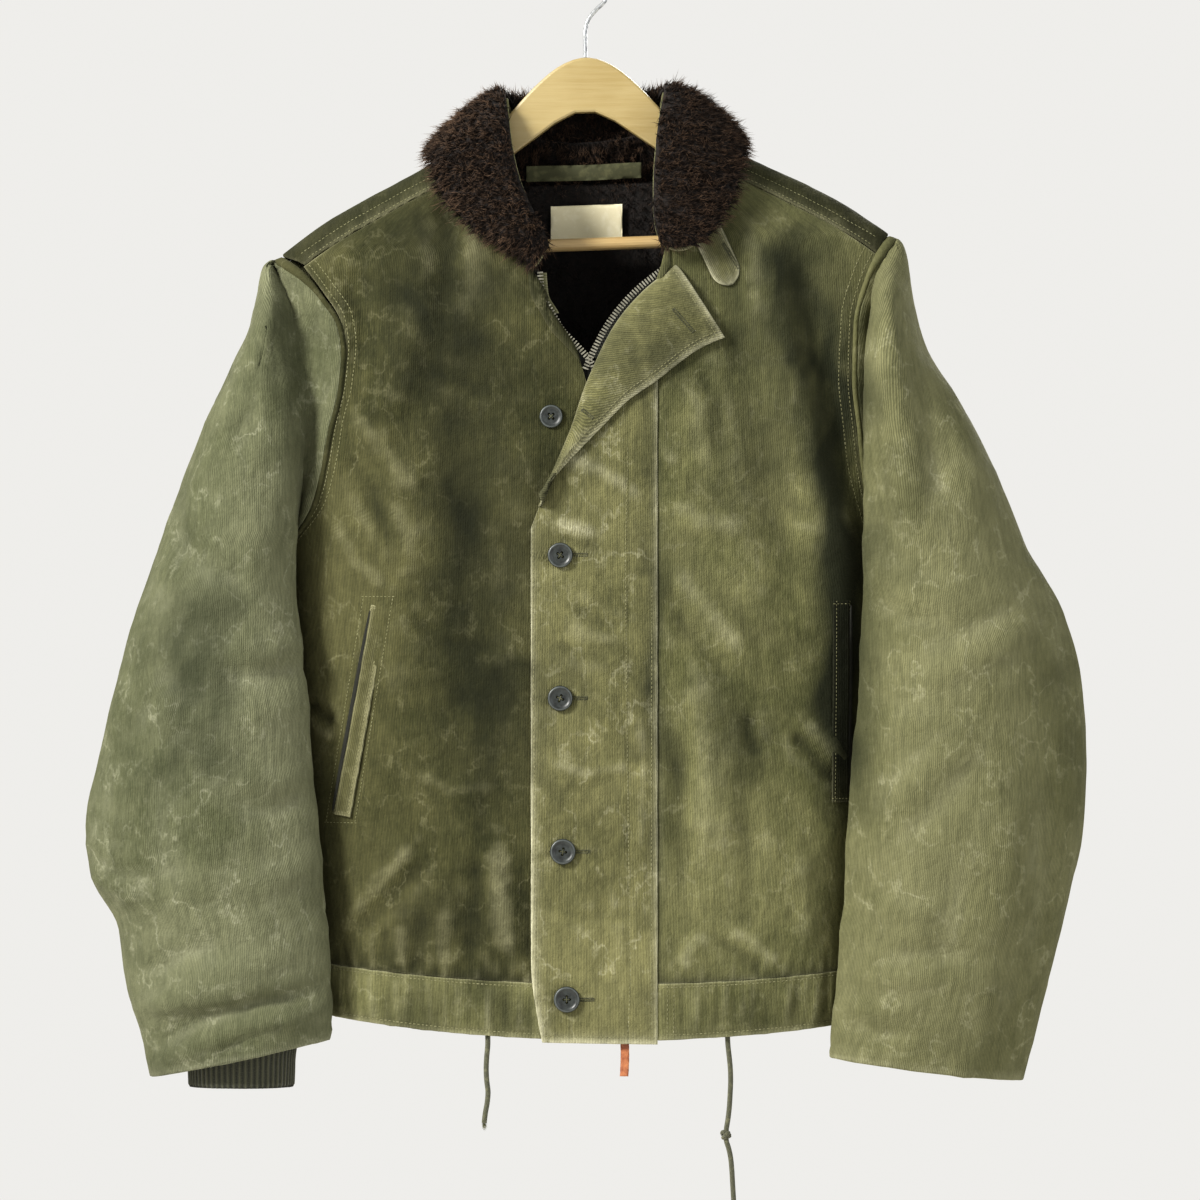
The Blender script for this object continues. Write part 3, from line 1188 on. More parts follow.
surface = front_surface(RIGHT, right_neck, right_inner, lambda x: 0)
points, u, v = gridded(surface, 235, 640, 2.9)
down, foot_gap = both_gaps(points, 0)
inner_gap, edge_gap = both_gaps(points, 1)
relief = front_relief(points, 11, FRONT_CREASES)
relief += seam_pucker(edge_gap, down, 21) + groove(edge_gap, 5.5)
relief += seam_pucker(foot_gap, edge_gap, 22, 22, 1.6)
relief = relief * smooth_step(inner_gap / 14) * flatter(edge_gap, 20)
relief *= smooth_step(foot_gap / 5 + 0.35) * smooth_step(down / 12 + 0.2)
front_right = Cloth("front_right_cloth", points, FORWARD, shaded, "cotton_shell", relief=relief,
                    cloth_uv=body_uv(points), edge_wear=(1, 0.5, 0.5, 0.4),
                    hollow=0.5 * np.exp(-edge_gap / 7) * (v < 0.6) + 0.8 * np.exp(-foot_gap / 5))
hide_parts("front_right")

surface = front_surface(LEFT, left_neck, left_inner, left_lift)
points, u, v = gridded(surface, 195, 640, 2.9)
down, foot_gap = both_gaps(points, 0)
inner_gap, edge_gap = both_gaps(points, 1)
relief = front_relief(points, 12, FRONT_CREASES)
relief += seam_pucker(edge_gap, down, 23) + groove(edge_gap, 7)
relief += seam_pucker(foot_gap, edge_gap, 24, 20, 1.3)
relief = relief * smooth_step((inner_gap - 3) / 22) * flatter(edge_gap, 20)
relief *= smooth_step(foot_gap / 5 + 0.35) * smooth_step(down / 12 + 0.2)
front_left = Cloth("front_left_cloth", points, FORWARD, faded, "cotton_shell", relief=relief,
                   cloth_uv=body_uv(points), edge_wear=(0, 0.5, 0.5, 0.4),
                   hollow=0.75 * np.exp(-np.maximum(0, inner_gap - 4) / 5) * (v > 0.28)
                   + 0.35 * np.exp(-edge_gap / 6) + 0.8 * np.exp(-foot_gap / 5))
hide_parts("front_left")


def placket_surface(u, v):
    x_top = lerp(PLACKET_EDGE, PLACKET_FOLD + 1, u)
    z = lerp(roll_at(x_top)[..., 1], -831, v)
    edge = PLACKET_EDGE + 8.6 * np.clip((-770 - z) / 61, 0, 1) ** 1.6
    x = lerp(edge, PLACKET_FOLD + 1, u)
    return on_front(x, z, lap_lift(x))


points, u, v = gridded(placket_surface, 97, 480, 2.1)
x, z = points[..., 0], points[..., 2]
left_gap = lengths(points, 1)
foot_gap = both_gaps(points, 0)[1]
relief = creases(PLACKET_CREASES, x, z) + 0.42 * rumple(x, z, 13)
for bx, bz, radius, lift in BUTTONS[1:]:
    relief += -1.1 * spot(x - bx, z - bz, 12, 9)
    relief += 0.8 * spot(x - bx, z - bz, 30, 5) * np.sign(z - bz + 0.1) * 0.6
relief += groove(left_gap, 4.6) + groove(foot_gap, 5) + groove(np.abs(x - 33), 0, 0.6)
relief += seam_pucker(left_gap, z, 25, 7, 0.5) + seam_pucker(foot_gap, x, 26, 6, 0.5)
relief = relief * (0.3 + 0.7 * smooth_step(left_gap / 8)) * smooth_step(v * 22)
placket = Cloth("placket_cloth", points, FORWARD, pale_edge, "cotton_shell", relief=relief,
                cloth_uv=body_uv(points), edge_wear=(2.2, 1.2, 0.2, 2.0), edge_drop=(1, 1, 0, 1))
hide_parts("placket")


# The lapel rolls out of the front's edge and lies back on it
def lapel_surface(u, v):
    along = 1 - u * 0.94
    roll_x = lerp(PLACKET_EDGE, 71, along)
    edge_x = lerp(-42, 108, along)
    x = lerp(roll_x, edge_x, v)
    z = lerp(roll_at(roll_x)[..., 1], lapel_edge_at(edge_x)[..., 1], v)
    turn = np.exp(-v / 0.05)
    bulge = 4.5 * np.sin(np.pi * np.clip(v, 0, 1)) ** 0.8
    return on_front(x - 1.5 * turn, z - 0.8 * turn, lap_lift(x) + 2 * SEAM + CLOTH + bulge - 3.2 * turn)


points, u, v = gridded(lapel_surface, 235, 75, 2.0)
x, z = points[..., 0], points[..., 2]
out_gap, free_gap = both_gaps(points, 0)
end_gap = lengths(points, 1)
relief = 0.5 * rumple(x, z, 14) + groove(free_gap, 5) + groove(end_gap, 5)
relief += seam_pucker(free_gap, end_gap, 27, 8, 0.5)
lapel = Cloth("lapel_cloth", points, FORWARD, pale_edge, "cotton_shell",
              relief=relief * smooth_step(out_gap / 6),
              cloth_uv=stack(end_gap * 0.7 + out_gap * 0.7, out_gap * 0.7 - end_gap * 0.7),
              edge_wear=(1.8, 0.5, 0.6, 2.4))
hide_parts("lapel")


# Back, yokes and waistband
def back_surface(u, v):
    share = np.abs(2 * u - 1)
    angles, heights = np.zeros_like(u), np.zeros_like(u)
    for side in (RIGHT, LEFT):
        edge = outer_edge(side, BACK_ARMHOLE, BACK_TOP)
        zero = np.zeros_like(v)
        x0 = share * (float(armhole_at[side](BACK_TOP)[1]) + BACK_ARMHOLE - SEAM)
        neck = -157 + 47 * np.clip(x0 / 62, 0, 1) ** 3
        start_z = np.where(x0 < 62, neck, ridge_at(x0)[..., 1] - BACK_DROP)
        foot = 204 * np.sin(share * SIDE_SEAM) ** (2 / ROUNDNESS)
        flat_z = row_height(v, BACK_TOP, band_top(foot) + SEAM)
        fade = (1 - v) ** 2.5
        angle = share * edge(v)[0] + fade * (angle_of(x0, start_z) - share * edge(zero)[0])
        here = (u < 0.5) == (side == RIGHT)
        angles = np.where(here, side * angle, angles)
        heights = np.where(here, flat_z + fade * (start_z - BACK_TOP), heights)
    return on_body(angles, heights, 1)


points, u, v = gridded(back_surface, 470, 650, 4.3)
# The grid below the shoulders is evened out, so that no dark marks show there
uneven = (np.abs(u - 0.5) < 0.46) & (v > 0.03) & (v < 0.4)
for _ in range(40):
    even = (points[:-2, 1:-1] + points[2:, 1:-1] + points[1:-1, :-2] + points[1:-1, 2:]) / 4
    points[1:-1, 1:-1] = np.where(uneven[1:-1, 1:-1, None], even, points[1:-1, 1:-1])
x, z = points[..., 0], points[..., 2]
down, foot_gap = both_gaps(points, 0)
ends = np.minimum(*both_gaps(points, 1))
relief = 0.6 * creases(BACK_CREASES, x, z) + 0.8 * rumple(x, z, 15)
relief += seam_pucker(ends, down, 31) + seam_pucker(foot_gap, x, 32, 22, 1.6)
relief *= smooth_step(foot_gap / 5 + 0.35) * flatter(ends, 20)
relief = np.where(relief < 0, 1.3 * np.tanh(relief / 1.3), relief)
back = Cloth("back_cloth", points, BACKWARD, faded, "cotton_shell", relief=relief, cloth_uv=body_uv(points),
             edge_wear=(0.6, 0.6, 0.5, 0.4))
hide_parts("back")


def yoke_surface(side):
    outer = float(armhole_at[side](-218)[1]) - 1

    def surface(u, v):
        height = lerp(-217, ARMHOLE_TOP, np.where(v < 0.5, 0, (2 * v - 1) ** 2))
        x = lerp(64, np.minimum(outer, armhole_at[side](height)[..., 1] - 1), u)
        top = ridge_at(x)[..., 1]
        seam = seam_at(np.minimum(x, 231))[..., 1] + SEAM
        t = lerp(-1, 1, v)
        drop = np.where(t > 0, (top - seam) * t * t, (BACK_DROP - SEAM) * t * t)
        return on_body(side * angle_of(x, top - drop), top - drop, np.where(t > 0, -1, 1), 0.5)

    return surface


yokes = {}
for side, word in SIDES:
    points, u, v = gridded(yoke_surface(side), 190, 60, 2.2)
    across = lengths(points, 1)
    down, low = both_gaps(points, 0)
    relief = 0.35 * rumple(points[..., 0], points[..., 2] + points[..., 1], 40 + side)
    relief += groove(low, 3) + groove(low, 11) + seam_pucker(low, across, 41 + side, 14, 0.45)
    yokes[side] = Cloth("yoke_%s_cloth" % word, points, np.array([0, 0, 1]), shaded, "cotton_shell",
                        relief=relief, cloth_uv=stack(across, down), tone=-0.6,
                        edge_wear=(0.4, 0.6, 0.5, 2.0))
    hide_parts("yoke_" + word)


def band_surface(start, end, face, lift):
    def surface(u, v):
        angle = lerp(start, end, u)
        x = ring_x(angle, BAND_MIDDLE)
        z = lerp(band_top(x) + 1.0, band_hem(x), v)
        return on_body(angle, z, face, lift(x) + 0.5)

    return surface


def band(name, start, end, face, lift, node, seed, boxed=None):
    points, u, v = gridded(band_surface(start, end, face, lift), 200 if face < 0 else 420, 44, 2.4)
    x, z = points[..., 0], points[..., 2]
    across = lengths(points, 1)
    down, low = both_gaps(points, 0)
    round_it = body_uv(points)[..., 0]
    gather = 1.7 * noise2(round_it / 15, z / 160, seed) + 1.0 * noise2(round_it / 7, z / 60, seed + 1)
    middle = np.sin(np.pi * np.clip(v, 0, 1)) ** 0.6
    relief = (1.5 * gather + 1.6) * middle * 0.8 + groove(low, 4, 0.6) + groove(down, 3, 0.5)
    relief += seam_pucker(low, across, seed + 2, 8, 0.6) + seam_pucker(down, across, seed + 3, 8, 0.7)
    if boxed is not None:
        flat = smooth_step((np.abs(x) - boxed) / 18)
        relief = relief * flat + groove(np.abs(x), boxed, 0.6) + groove(np.abs(x), boxed + 8, 0.6)
    cloth = Cloth(name, points, FORWARD if face < 0 else BACKWARD, faded, "cotton_shell", relief=relief,
                  cloth_uv=body_uv(points), edge_wear=(0.5, 0.5, 0.5, 1.6))
    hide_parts(node)
    return cloth


def band_angle(x):
    return float(angle_of(x, BAND_MIDDLE))


band_right = band("band_right_cloth", -SIDE_SEAM, -band_angle(14), -1, lambda x: 0 * x,
                  "waistband_front_right", 51)
band_left = band("band_left_cloth", band_angle(PLACKET_FOLD - 3), SIDE_SEAM, -1, left_lift,
                 "waistband_front_left", 56, 66)
band_back = band("band_back_cloth", -SIDE_SEAM, SIDE_SEAM, 1, lambda x: 0 * x, "waistband_back", 61)


# Sleeves: each goes from the front armhole seam round to the back one, split in two panels
def sleeve_surface(side):
    table = SLEEVE_RIGHT if side == RIGHT else SLEEVE_LEFT
    row_at = smooth_table([(i, *row) for i, row in enumerate(table)])
    pit = next(i for i, row in enumerate(table) if row[0] <= ARMPIT + 4)

    def surface(u, v):
        at = v * (len(table) - 1)
        row = row_at(at)
        seam_z, in_x, in_z, in_y, front_y, out_x, out_z, out_y, back_y = [row[..., k] for k in range(1, 10)]

        def across(t, y):
            return stack(lerp(in_x, out_x, t), y, lerp(in_z, out_z, t))

        still = np.clip(pit + 1 - at, 0, 1)[..., None]
        side_x = body_at(in_z)[..., 1]
        z = np.maximum(seam_z, ARMPIT)
        half = body_at(z)[..., 1]
        cut = armhole_at[side](z)[..., 1] + ARMHOLE_GAP
        rear = np.minimum(cut + BACK_ARMHOLE + 2 * ARMHOLE_GAP, half - 0.4)

        def own(p):
            return stack(side * p[..., 0], p[..., 1], p[..., 2])

        front_seam = own(on_front(side * cut, z))
        back_seam = own(on_back(side * rear, z))
        front_lip = own(on_front(side * np.minimum(cut + LIP, half - 2), z))
        back_lip = own(on_back(side * np.minimum(rear + LIP, half - 0.2), z))
        under = side_x + 7
        seam_a = lerp(stack(under, -4.5, in_z), front_seam, still)
        seam_b = lerp(stack(under, -3.5, in_z), back_seam, still)
        lip_a = lerp(stack(under - 1, -10, in_z), front_lip, still)
        lip_b = lerp(stack(under + 2, 3, in_z), back_lip, still)
        trough_x = lerp(lip_a[..., 0], in_x, 0.6)
        past = np.clip((trough_x - cut) / 8, 0, 1)
        trough_y = on_front(np.minimum(trough_x, side_x - 1), z)[..., 1] + lerp(-11, 3, past)
        deep = stack(trough_x, np.maximum(trough_y, in_y + 2), lerp(seam_a[..., 2], in_z, 0.7))
        trough = lerp(stack(side_x + 3, -22, in_z), deep, still)
        inner = stack(in_x, in_y, in_z)
        keys = [seam_a, lip_a, trough, lerp(trough, inner, 0.6), across(0, in_y), across(0.28, front_y),
                across(0.68, lerp(out_y, front_y, 0.86)), across(1, out_y), across(0.7, back_y),
                across(0.3, back_y), lip_b, seam_b]
        points = smooth_path(keys, lerp(0.002, 0.998, u))
        return stack(side * points[..., 0], points[..., 1], points[..., 2])

    return surface


SLEEVE_SPLIT = 7 / 11
sleeves = {}
for side, word, cloth_look in ((RIGHT, "right", sleeve_cloth_right), (LEFT, "left", sleeve_cloth_left)):
    whole = sleeve_surface(side)
    table = SLEEVE_RIGHT_CREASES if side == RIGHT else SLEEVE_LEFT_CREASES
    for part, start, end, width in (("front", 0.0, SLEEVE_SPLIT, 265), ("back", SLEEVE_SPLIT, 1.0, 185)):
        u, v = np.meshgrid(ticks(width, 3.0), ticks(650, 3.1))
        points = whole(lerp(start, end, u), lerp(0.02, 1, v))
        x, z = points[..., 0], points[..., 2]
        across, rest = both_gaps(points, 1)
        out_gap, seam_gap = (rest, across) if part == "front" else (across, rest)
        down, low = both_gaps(points, 0)
        facing_out = np.abs(normals_of(points)[..., 1])
        if part == "front":
            relief = 1.6 * creases(table, x, z) * (0.35 + 0.65 * facing_out)
        else:
            relief = creases(SLEEVE_REAR_CREASES, np.abs(x), z) * (0.35 + 0.65 * facing_out)
        lively = 1.35 if side == RIGHT else 1.05
        relief = relief + lively * rumple(x + points[..., 1] * side * 0.8, z, 70 + side, 1.0, 0.5, 0.8)
        relief += (seam_pucker(out_gap, down, 75 + side, 10, 0.8) + groove(out_gap, 3)
                   + groove(low, 6.5, 1.0, 1.3))
        relief += seam_pucker(low, across, 78 + side, 9, 0.9)
        relief *= smooth_step(seam_gap / 10 + 0.05) * smooth_step(down / 10 + 0.1)
        relief *= flatter(out_gap, 14)
        inside = np.exp(-((across - 30) / 13) ** 2) * 0.4 if part == "front" else 0.3 * np.exp(-seam_gap / 30)
        flat = stack((across - across.mean(axis=1, keepdims=True)), down)
        piece = Cloth("sleeve_%s_%s_cloth" % (word, part), points, FORWARD if part == "front" else BACKWARD,
                      cloth_look, "sleeve_cotton", relief=relief, cloth_uv=flat, hollow=inside,
                      wear=0.45 * np.exp(-(((low - 2) / 3) ** 2)),
                      edge_wear=(0.5, 0.9, 0.4, 2.2) if part == "front" else (0.9, 0.5, 0.4, 2.2))
        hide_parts("sleeve_%s_%s" % (word, part))
        sleeves[side, part] = piece


# Knit cuffs
def knit(name):
    """Rib knit: dark, with paler ribs and small loops."""
    look = Look(name)
    place = look.flat_cloth()
    loops = look.wave(place, 0.0014, "Y", Distortion=1.0)
    fuzz = look.noise(place, 900.0, 3.0)
    color = look.mix(look.value("wear"), "#212318", "#4a4b38")
    color = look.mix(look.range(fuzz, 0.5, 0.8, 0.0, 0.5), color, "#5b5a46")
    look.set(Base_Color=color, Roughness=0.93, Sheen_Weight=0.3, Normal=look.bump(loops, 0.6, 0.0005))
    return look.material


rib_knit = knit("rib_knit_cuff")
for side, word, x0, hem, reach in ((RIGHT, "right", -266.5, -867, 34), (LEFT, "left", 263, -846, 33.9)):
    ring_at = smooth_table([(0, -22, hem, 41, 21), (0.39, -22, hem + 24, 42, 22),
                            (0.81, reach - 45, hem + 50, 46, 33), (1, reach - 45.6, hem + 62, 47, 33.6)])
    u, v = np.meshgrid(np.linspace(0, 1, 281), np.linspace(0, 1, 26))
    ring = ring_at(v)
    turn = 2 * np.pi * u
    points = stack(x0 + ring[..., 3] * np.cos(turn), ring[..., 1] + ring[..., 4] * np.sin(turn), ring[..., 2])
    ribs = 0.5 + 0.5 * np.cos(KNIT_RIBS * turn)
    relief = ribs - 0.8 + 0.5 * noise2(u * 19, v * 3, 80 + side)
    cloth = Cloth("knit_cuff_%s_rib" % word, points, np.array([-1, 0, 0]), rib_knit, "rib_knit",
                  relief=relief, thick=3, wear=0.8 * ribs ** 2, edge_drop=(0, 0, 1, 1),
                  edge_wear=(0, 0, 0, 0.4))
    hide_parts("knit_cuff_" + word)


# Armhole seams: a raised felled edge that closes the join of body and sleeve
def seam_path(side):
    heights = np.linspace(-436, -219, 60)
    cut = armhole_at[side](heights)[..., 1] + 0.6
    front = on_front(side * cut, heights, 0.3)
    rear_cut = np.minimum(cut + BACK_ARMHOLE + 1.5, body_at(heights)[..., 1] - 0.6)
    rear = on_back(side * rear_cut, heights, 0.3)
    return np.concatenate([front, rear[::-1]])


for side, word in SIDES:
    route = seam_path(side)
    swell = 2.1 + 0.35 * noise2(np.arange(len(route)) / 3.1, np.zeros(len(route)), 84 + side)
    swell = swell + 2.0 * np.exp(-((np.arange(len(route)) - 59.5) / 7) ** 2)
    tube("armhole_seam_" + word, route, swell, 10, shaded if side == RIGHT else faded)


# Collar: cotton underside, a dark ground and thousands of pile blades
collar_at = smooth_table([(i, *row) for i, row in enumerate(COLLAR)])


def collar_surface(u, v):
    row = collar_at(u * (len(COLLAR) - 1))
    seam, roll, edge = [settled(row[..., k], row[..., k + 1], row[..., k + 2]) for k in (1, 4, 7)]
    v = v[..., None]
    return seam * (1 - v) * (1 - 2 * v) + roll * 4 * v * (1 - v) + edge * v * (2 * v - 1)


COLLAR_FACING = np.array([0, -0.6, 1])
points, u, v = gridded(collar_surface, 520, 75, 3.2)
down, free = both_gaps(points, 0)
relief = groove(free, 4) + 0.35 * rumple(points[..., 0], points[..., 2], 91)
under_collar = Cloth("under_collar_cloth", points, COLLAR_FACING, faded, "cotton_shell", relief=relief,
                     thick=2.2, cloth_uv=stack(lengths(points, 1), down), edge_wear=(2, 2, 0.2, 2.4))
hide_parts("under_collar")

pile_ground = backing("collar_pile_ground", "#0c0806", "#241913")
u, v = np.meshgrid(np.linspace(0.004, 0.996, 200), np.linspace(0.02, 0.985, 34))
points = collar_surface(u, v)
dome = np.sqrt(np.maximum(0, 1 - (2 * v - 1) ** 6)) * np.sqrt(np.maximum(0, 1 - (2 * u - 1) ** 30))
clumps = noise2(u * 62, v * 9, 92) + 0.6 * noise2(u * 130, v * 19, 93)
lumps = 3.4 + 3.0 * dome + 1.3 * clumps * dome
pad = Cloth("collar_pile_ground", points, COLLAR_FACING, pile_ground, "fur_pile", relief=lumps,
            thick=2.6, edge_wear=NO_WEAR)
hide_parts("collar_fur")
rng = np.random.default_rng(31)
roots, cell = scatter(pad.outer, COLLAR_BLADES, rng)
flat_normal = (pad.normal[:-1, :-1]).reshape(-1, 3)[cell]
outwards = np.gradient(points, axis=0)
outwards = (outwards / np.linalg.norm(outwards, axis=-1, keepdims=True))[:-1, :-1].reshape(-1, 3)[cell]
swirl = noise2(roots[:, 0] / 26, roots[:, 2] / 26, 33)[:, None] * np.array([0.35, 0, 0.2])
lean_to = flat_normal * 0.62 + outwards * 0.62 + swirl + np.array([0, -0.05, -0.1])
collar_pile = pile("collar_pile", "#060403", "#1d140e", "#7a624e")
middle = COLLAR_BLADES // 2
for half, chosen in (("a", slice(0, middle)), ("b", slice(middle, COLLAR_BLADES))):
    blades("collar_pile_blades_" + half, (roots - flat_normal * 0.8)[chosen], lean_to[chosen], 9.0,
                      0.3, rng, collar_pile, 5.0, 0.22)


# Brown pile inside the neck, between the collar and the loop
def neck_surface(u, v):
    x = lerp(-1, 1, u) * 58
    return on_back(x, lerp(-132 + 10 * (x / 58) ** 2, -172, v), -CLOTH - 2.6)


points, u, v = gridded(neck_surface, 116, 44, 3)
neck_pad = Cloth("neck_pile_ground", points, FORWARD, pile_ground, "fur_pile",
                 relief=1.2 * noise2(u * 14, v * 6, 34), thick=2.4, edge_wear=NO_WEAR)
roots, cell = scatter(neck_pad.outer, NECK_BLADES, rng)
neck_fur = blades("neck_pile_blades", roots, np.tile([0.0, -1.0, -0.7], (len(roots), 1)), 7.0, 0.32, rng,
                  collar_pile, 6.0, 0.35)

# Lining: near-black pile inside the back, seen through the neck
lining_top = -CLOTH - 1.1


def lining_surface(u, v):
    z = lerp(-163, -770, v)
    reach = np.minimum(150, 52 + (-163 - z) * 0.8)
    return on_back(lerp(-1, 1, u) * reach, z, lining_top - 3 * np.exp((z + 163) / 90))


points, u, v = gridded(lining_surface, 260, 607, 7)
lining_look = backing("lining_pile_ground", "#0b0806", "#211813")
relief = 0.8 * noise2(u * 40, v * 90, 94) - 1.2
lining = Cloth("lining_ground", points, BACKWARD, lining_look, "pile_lining", relief=relief, thick=4,
               edge_wear=NO_WEAR)
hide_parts("lining_back")
inside = lining.outer - lining.normal * 4
inside = inside[v[:, 0] < 0.62]
under_label = np.array([1.0, -200.0])
rng = np.random.default_rng(32)
roots, cell = scatter(inside, LINING_BLADES, rng)
roots = roots[(np.abs(roots[:, 0] - under_label[0]) > 31) | (np.abs(roots[:, 2] - under_label[1] - 1) > 26)]
lining_pile = pile("lining_pile", "#0a0705", "#1d1612", "#3f342b")
lining_fur = blades("lining_pile_blades", roots, np.tile([0.0, -1.0, -0.55], (len(roots), 1)), 5.0, 0.42, rng,
                    lining_pile, 6.0, 0.4)

# Loop and blank label
tape_look = plain_weave("khaki_twill_tape", "#45462c", "#26271a", 0.0008, "#6c6b4b")
label_look = plain_weave("cream_label_cloth", "#e9e2c4", "#c9c09c", 0.0006, "#f2edd8")
inside_lift = lining_top - 6.5
surface = strip_surface((-46, -155), (44, -155), lambda u: 6, lambda x: inside_lift - 4.5, 1)
points, u, v = gridded(surface, 90, 12, 1.6)
sag = 1.1 * np.sin(np.pi * np.clip(u, 0, 1)) ** 2
loop = Cloth("hanger_loop_tape", points - stack(0 * sag, sag, 0.6 * sag), BACKWARD, tape_look,
             "cotton_tape", thick=1.4, relief=0.2 * noise2(u * 12, v * 2, 95))
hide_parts("hanger_loop")
surface = strip_surface((-27, -196), (29, -196), lambda u: 15.5, lambda x: inside_lift - 4.6, 1)
points, u, v = gridded(surface, 56, 31, 1.8)
label = Cloth("neck_label_cloth", points, BACKWARD, label_look, "label_cloth", thick=0.8,
              relief=0.2 * noise2(u * 4, v * 3, 96) + 0.1 * noise2(u * 20, v * 14, 97))
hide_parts("neck_label")

# Throat tab
def tab_half(u):
    return 11.5 * np.sqrt(np.maximum(0.02, 1 - np.maximum(0, (u - 0.72) / 0.28) ** 2))


surface = strip_surface((93, -206), (113, -250), tab_half, lambda x: lap_lift(x) + 3.0)
points, u, v = gridded(surface, 48, 23, 1.3)
gap = np.minimum(*both_gaps(points, 0))
tip_gap = both_gaps(points, 1)[1]
relief = groove(gap, 3.4, 0.4) + groove(tip_gap, 3.4, 0.4)
relief = relief + 0.4 * rumple(points[..., 0], points[..., 2], 98)
tab = Cloth("throat_tab_cloth", points, FORWARD, pale_edge, "cotton_shell", relief=relief,
            cloth_uv=stack(v * 23, u * 48), edge_wear=(0, 2.6, 2.0, 2.0))
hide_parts("throat_tab")


# Zip: black tapes, a green facing and metal teeth along both open edges
def metal(name, color, dark, rough=0.35):
    """Plated metal with dull patches and fine scratches."""
    look = Look(name)
    place = look.space()
    dull = look.noise(place, 300.0, 4.0)
    fine = look.mapped(place, Scale=(900.0, 900.0, 60.0))
    scratch = look.noise(fine, 1.0, 2.0)
    look.set(Base_Color=look.mix(look.range(dull, 0.4, 0.7), color, dark), Metallic=1.0)
    look.set(Roughness=look.range(dull, 0.35, 0.7, rough - 0.1, rough + 0.2))
    look.set(Normal=look.bump(scratch, 0.15, 0.0002))
    return look.material


zip_cloth = plain_weave("zip_tape_weave", "#1d1f19", "#0d0e0b", 0.0007, "#34362b")
zip_metal = metal("zip_teeth_metal", "#b9b6a6", "#5a584c", 0.32)
behind = -CLOTH - 0.8


def edge_strip(name, node, place, bounds, offsets, depth, thick, look, slot):
    def surface(u, v):
        x, z = place(lerp(bounds[0], bounds[1], u))
        return on_front(x + lerp(offsets[0], offsets[1], v), z, depth(x))

    points, u, v = gridded(surface, 105, abs(offsets[1] - offsets[0]), 1.7)
    cloth = Cloth(name, points, FORWARD, look, slot, relief=0.15 * noise2(u * 30, v * 3, 99), thick=thick)
    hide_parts(node)
    return cloth.object


def right_place(z):
    return right_edge_at(z)[..., 1], z


def left_place(x):
    return x, roll_at(x)[..., 1]


def zip_teeth(name, place, bounds, offset, depth, seed):
    rng = np.random.default_rng(seed)
    t = np.linspace(0, 1, 400)
    x, z = place(lerp(bounds[0], bounds[1], t))
    path = on_front(x + offset, z, depth(x) + 0.9)
    spans = np.concatenate([[0], np.cumsum(np.linalg.norm(np.diff(path, axis=0), axis=1))])
    count = int(spans[-1] / 2.5)
    points, faces = [], []
    for k in range(count):
        s = (k + 0.5) * spans[-1] / count
        middle = np.array([np.interp(s, spans, path[:, c]) for c in range(3)])
        ahead = np.array([np.interp(s + 1, spans, path[:, c]) for c in range(3)]) - middle
        ahead /= max(np.linalg.norm(ahead), 1e-6)
        side = np.cross([0, -1, 0], ahead) + rng.normal(0, 0.03, 3)
        out = np.array([0, -1, 0])
        start = len(points)
        for a, size in ((-2.2, 0.62), (0.5, 0.72), (1.0, 0.5), (2.0, 0.62), (2.6, 0.34)):
            for p, q in ((-1, -0.5), (1, -0.5), (1, 0.75), (-1, 0.75)):
                points.append(middle + side * a + ahead * p * size + out * q)
        for j in range(4):
            for i in range(4):
                n = (i + 1) % 4
                low, high = start + 4 * j, start + 4 * j + 4
                faces.append([low + i, low + n, high + n, high + i])
        faces.append([start, start + 1, start + 2, start + 3])
        faces.append([start + 19, start + 18, start + 17, start + 16])
    return finished(mesh_object(name, np.array(points), faces), zip_metal, False)


zip_right = edge_strip("zip_tape_right_cloth", "zip_tape_right", right_place, (-233, -325), (-6, 8),
                       lambda x: behind, 1.2, zip_cloth, "zip_tape")
facing_right = edge_strip("zip_facing_cloth", "zip_facing_right", right_place, (-236, -268), (-8, 14),
                          lambda x: behind - 1.8, 1.2, faded, "cotton_tape")
zip_left = edge_strip("zip_tape_left_cloth", "zip_tape_left", left_place, (68, 10), (-6, 7),
                      lambda x: lap_lift(x) + behind - 0.6, 1.2, zip_cloth, "zip_tape")
teeth_right = zip_teeth("zip_teeth_right", right_place, (-235, -340), 8.8, lambda x: behind, 41)
teeth_left = zip_teeth("zip_teeth_left", left_place, (70, 6), -6.2, lambda x: lap_lift(x) + behind - 0.6, 42)


# Slant pockets: a welt beside a dark opening, with a stitched frame
deep_shadow = plain_weave("pocket_mouth_cloth", "#17180f", "#0c0d08", 0.0008, "#26271a")


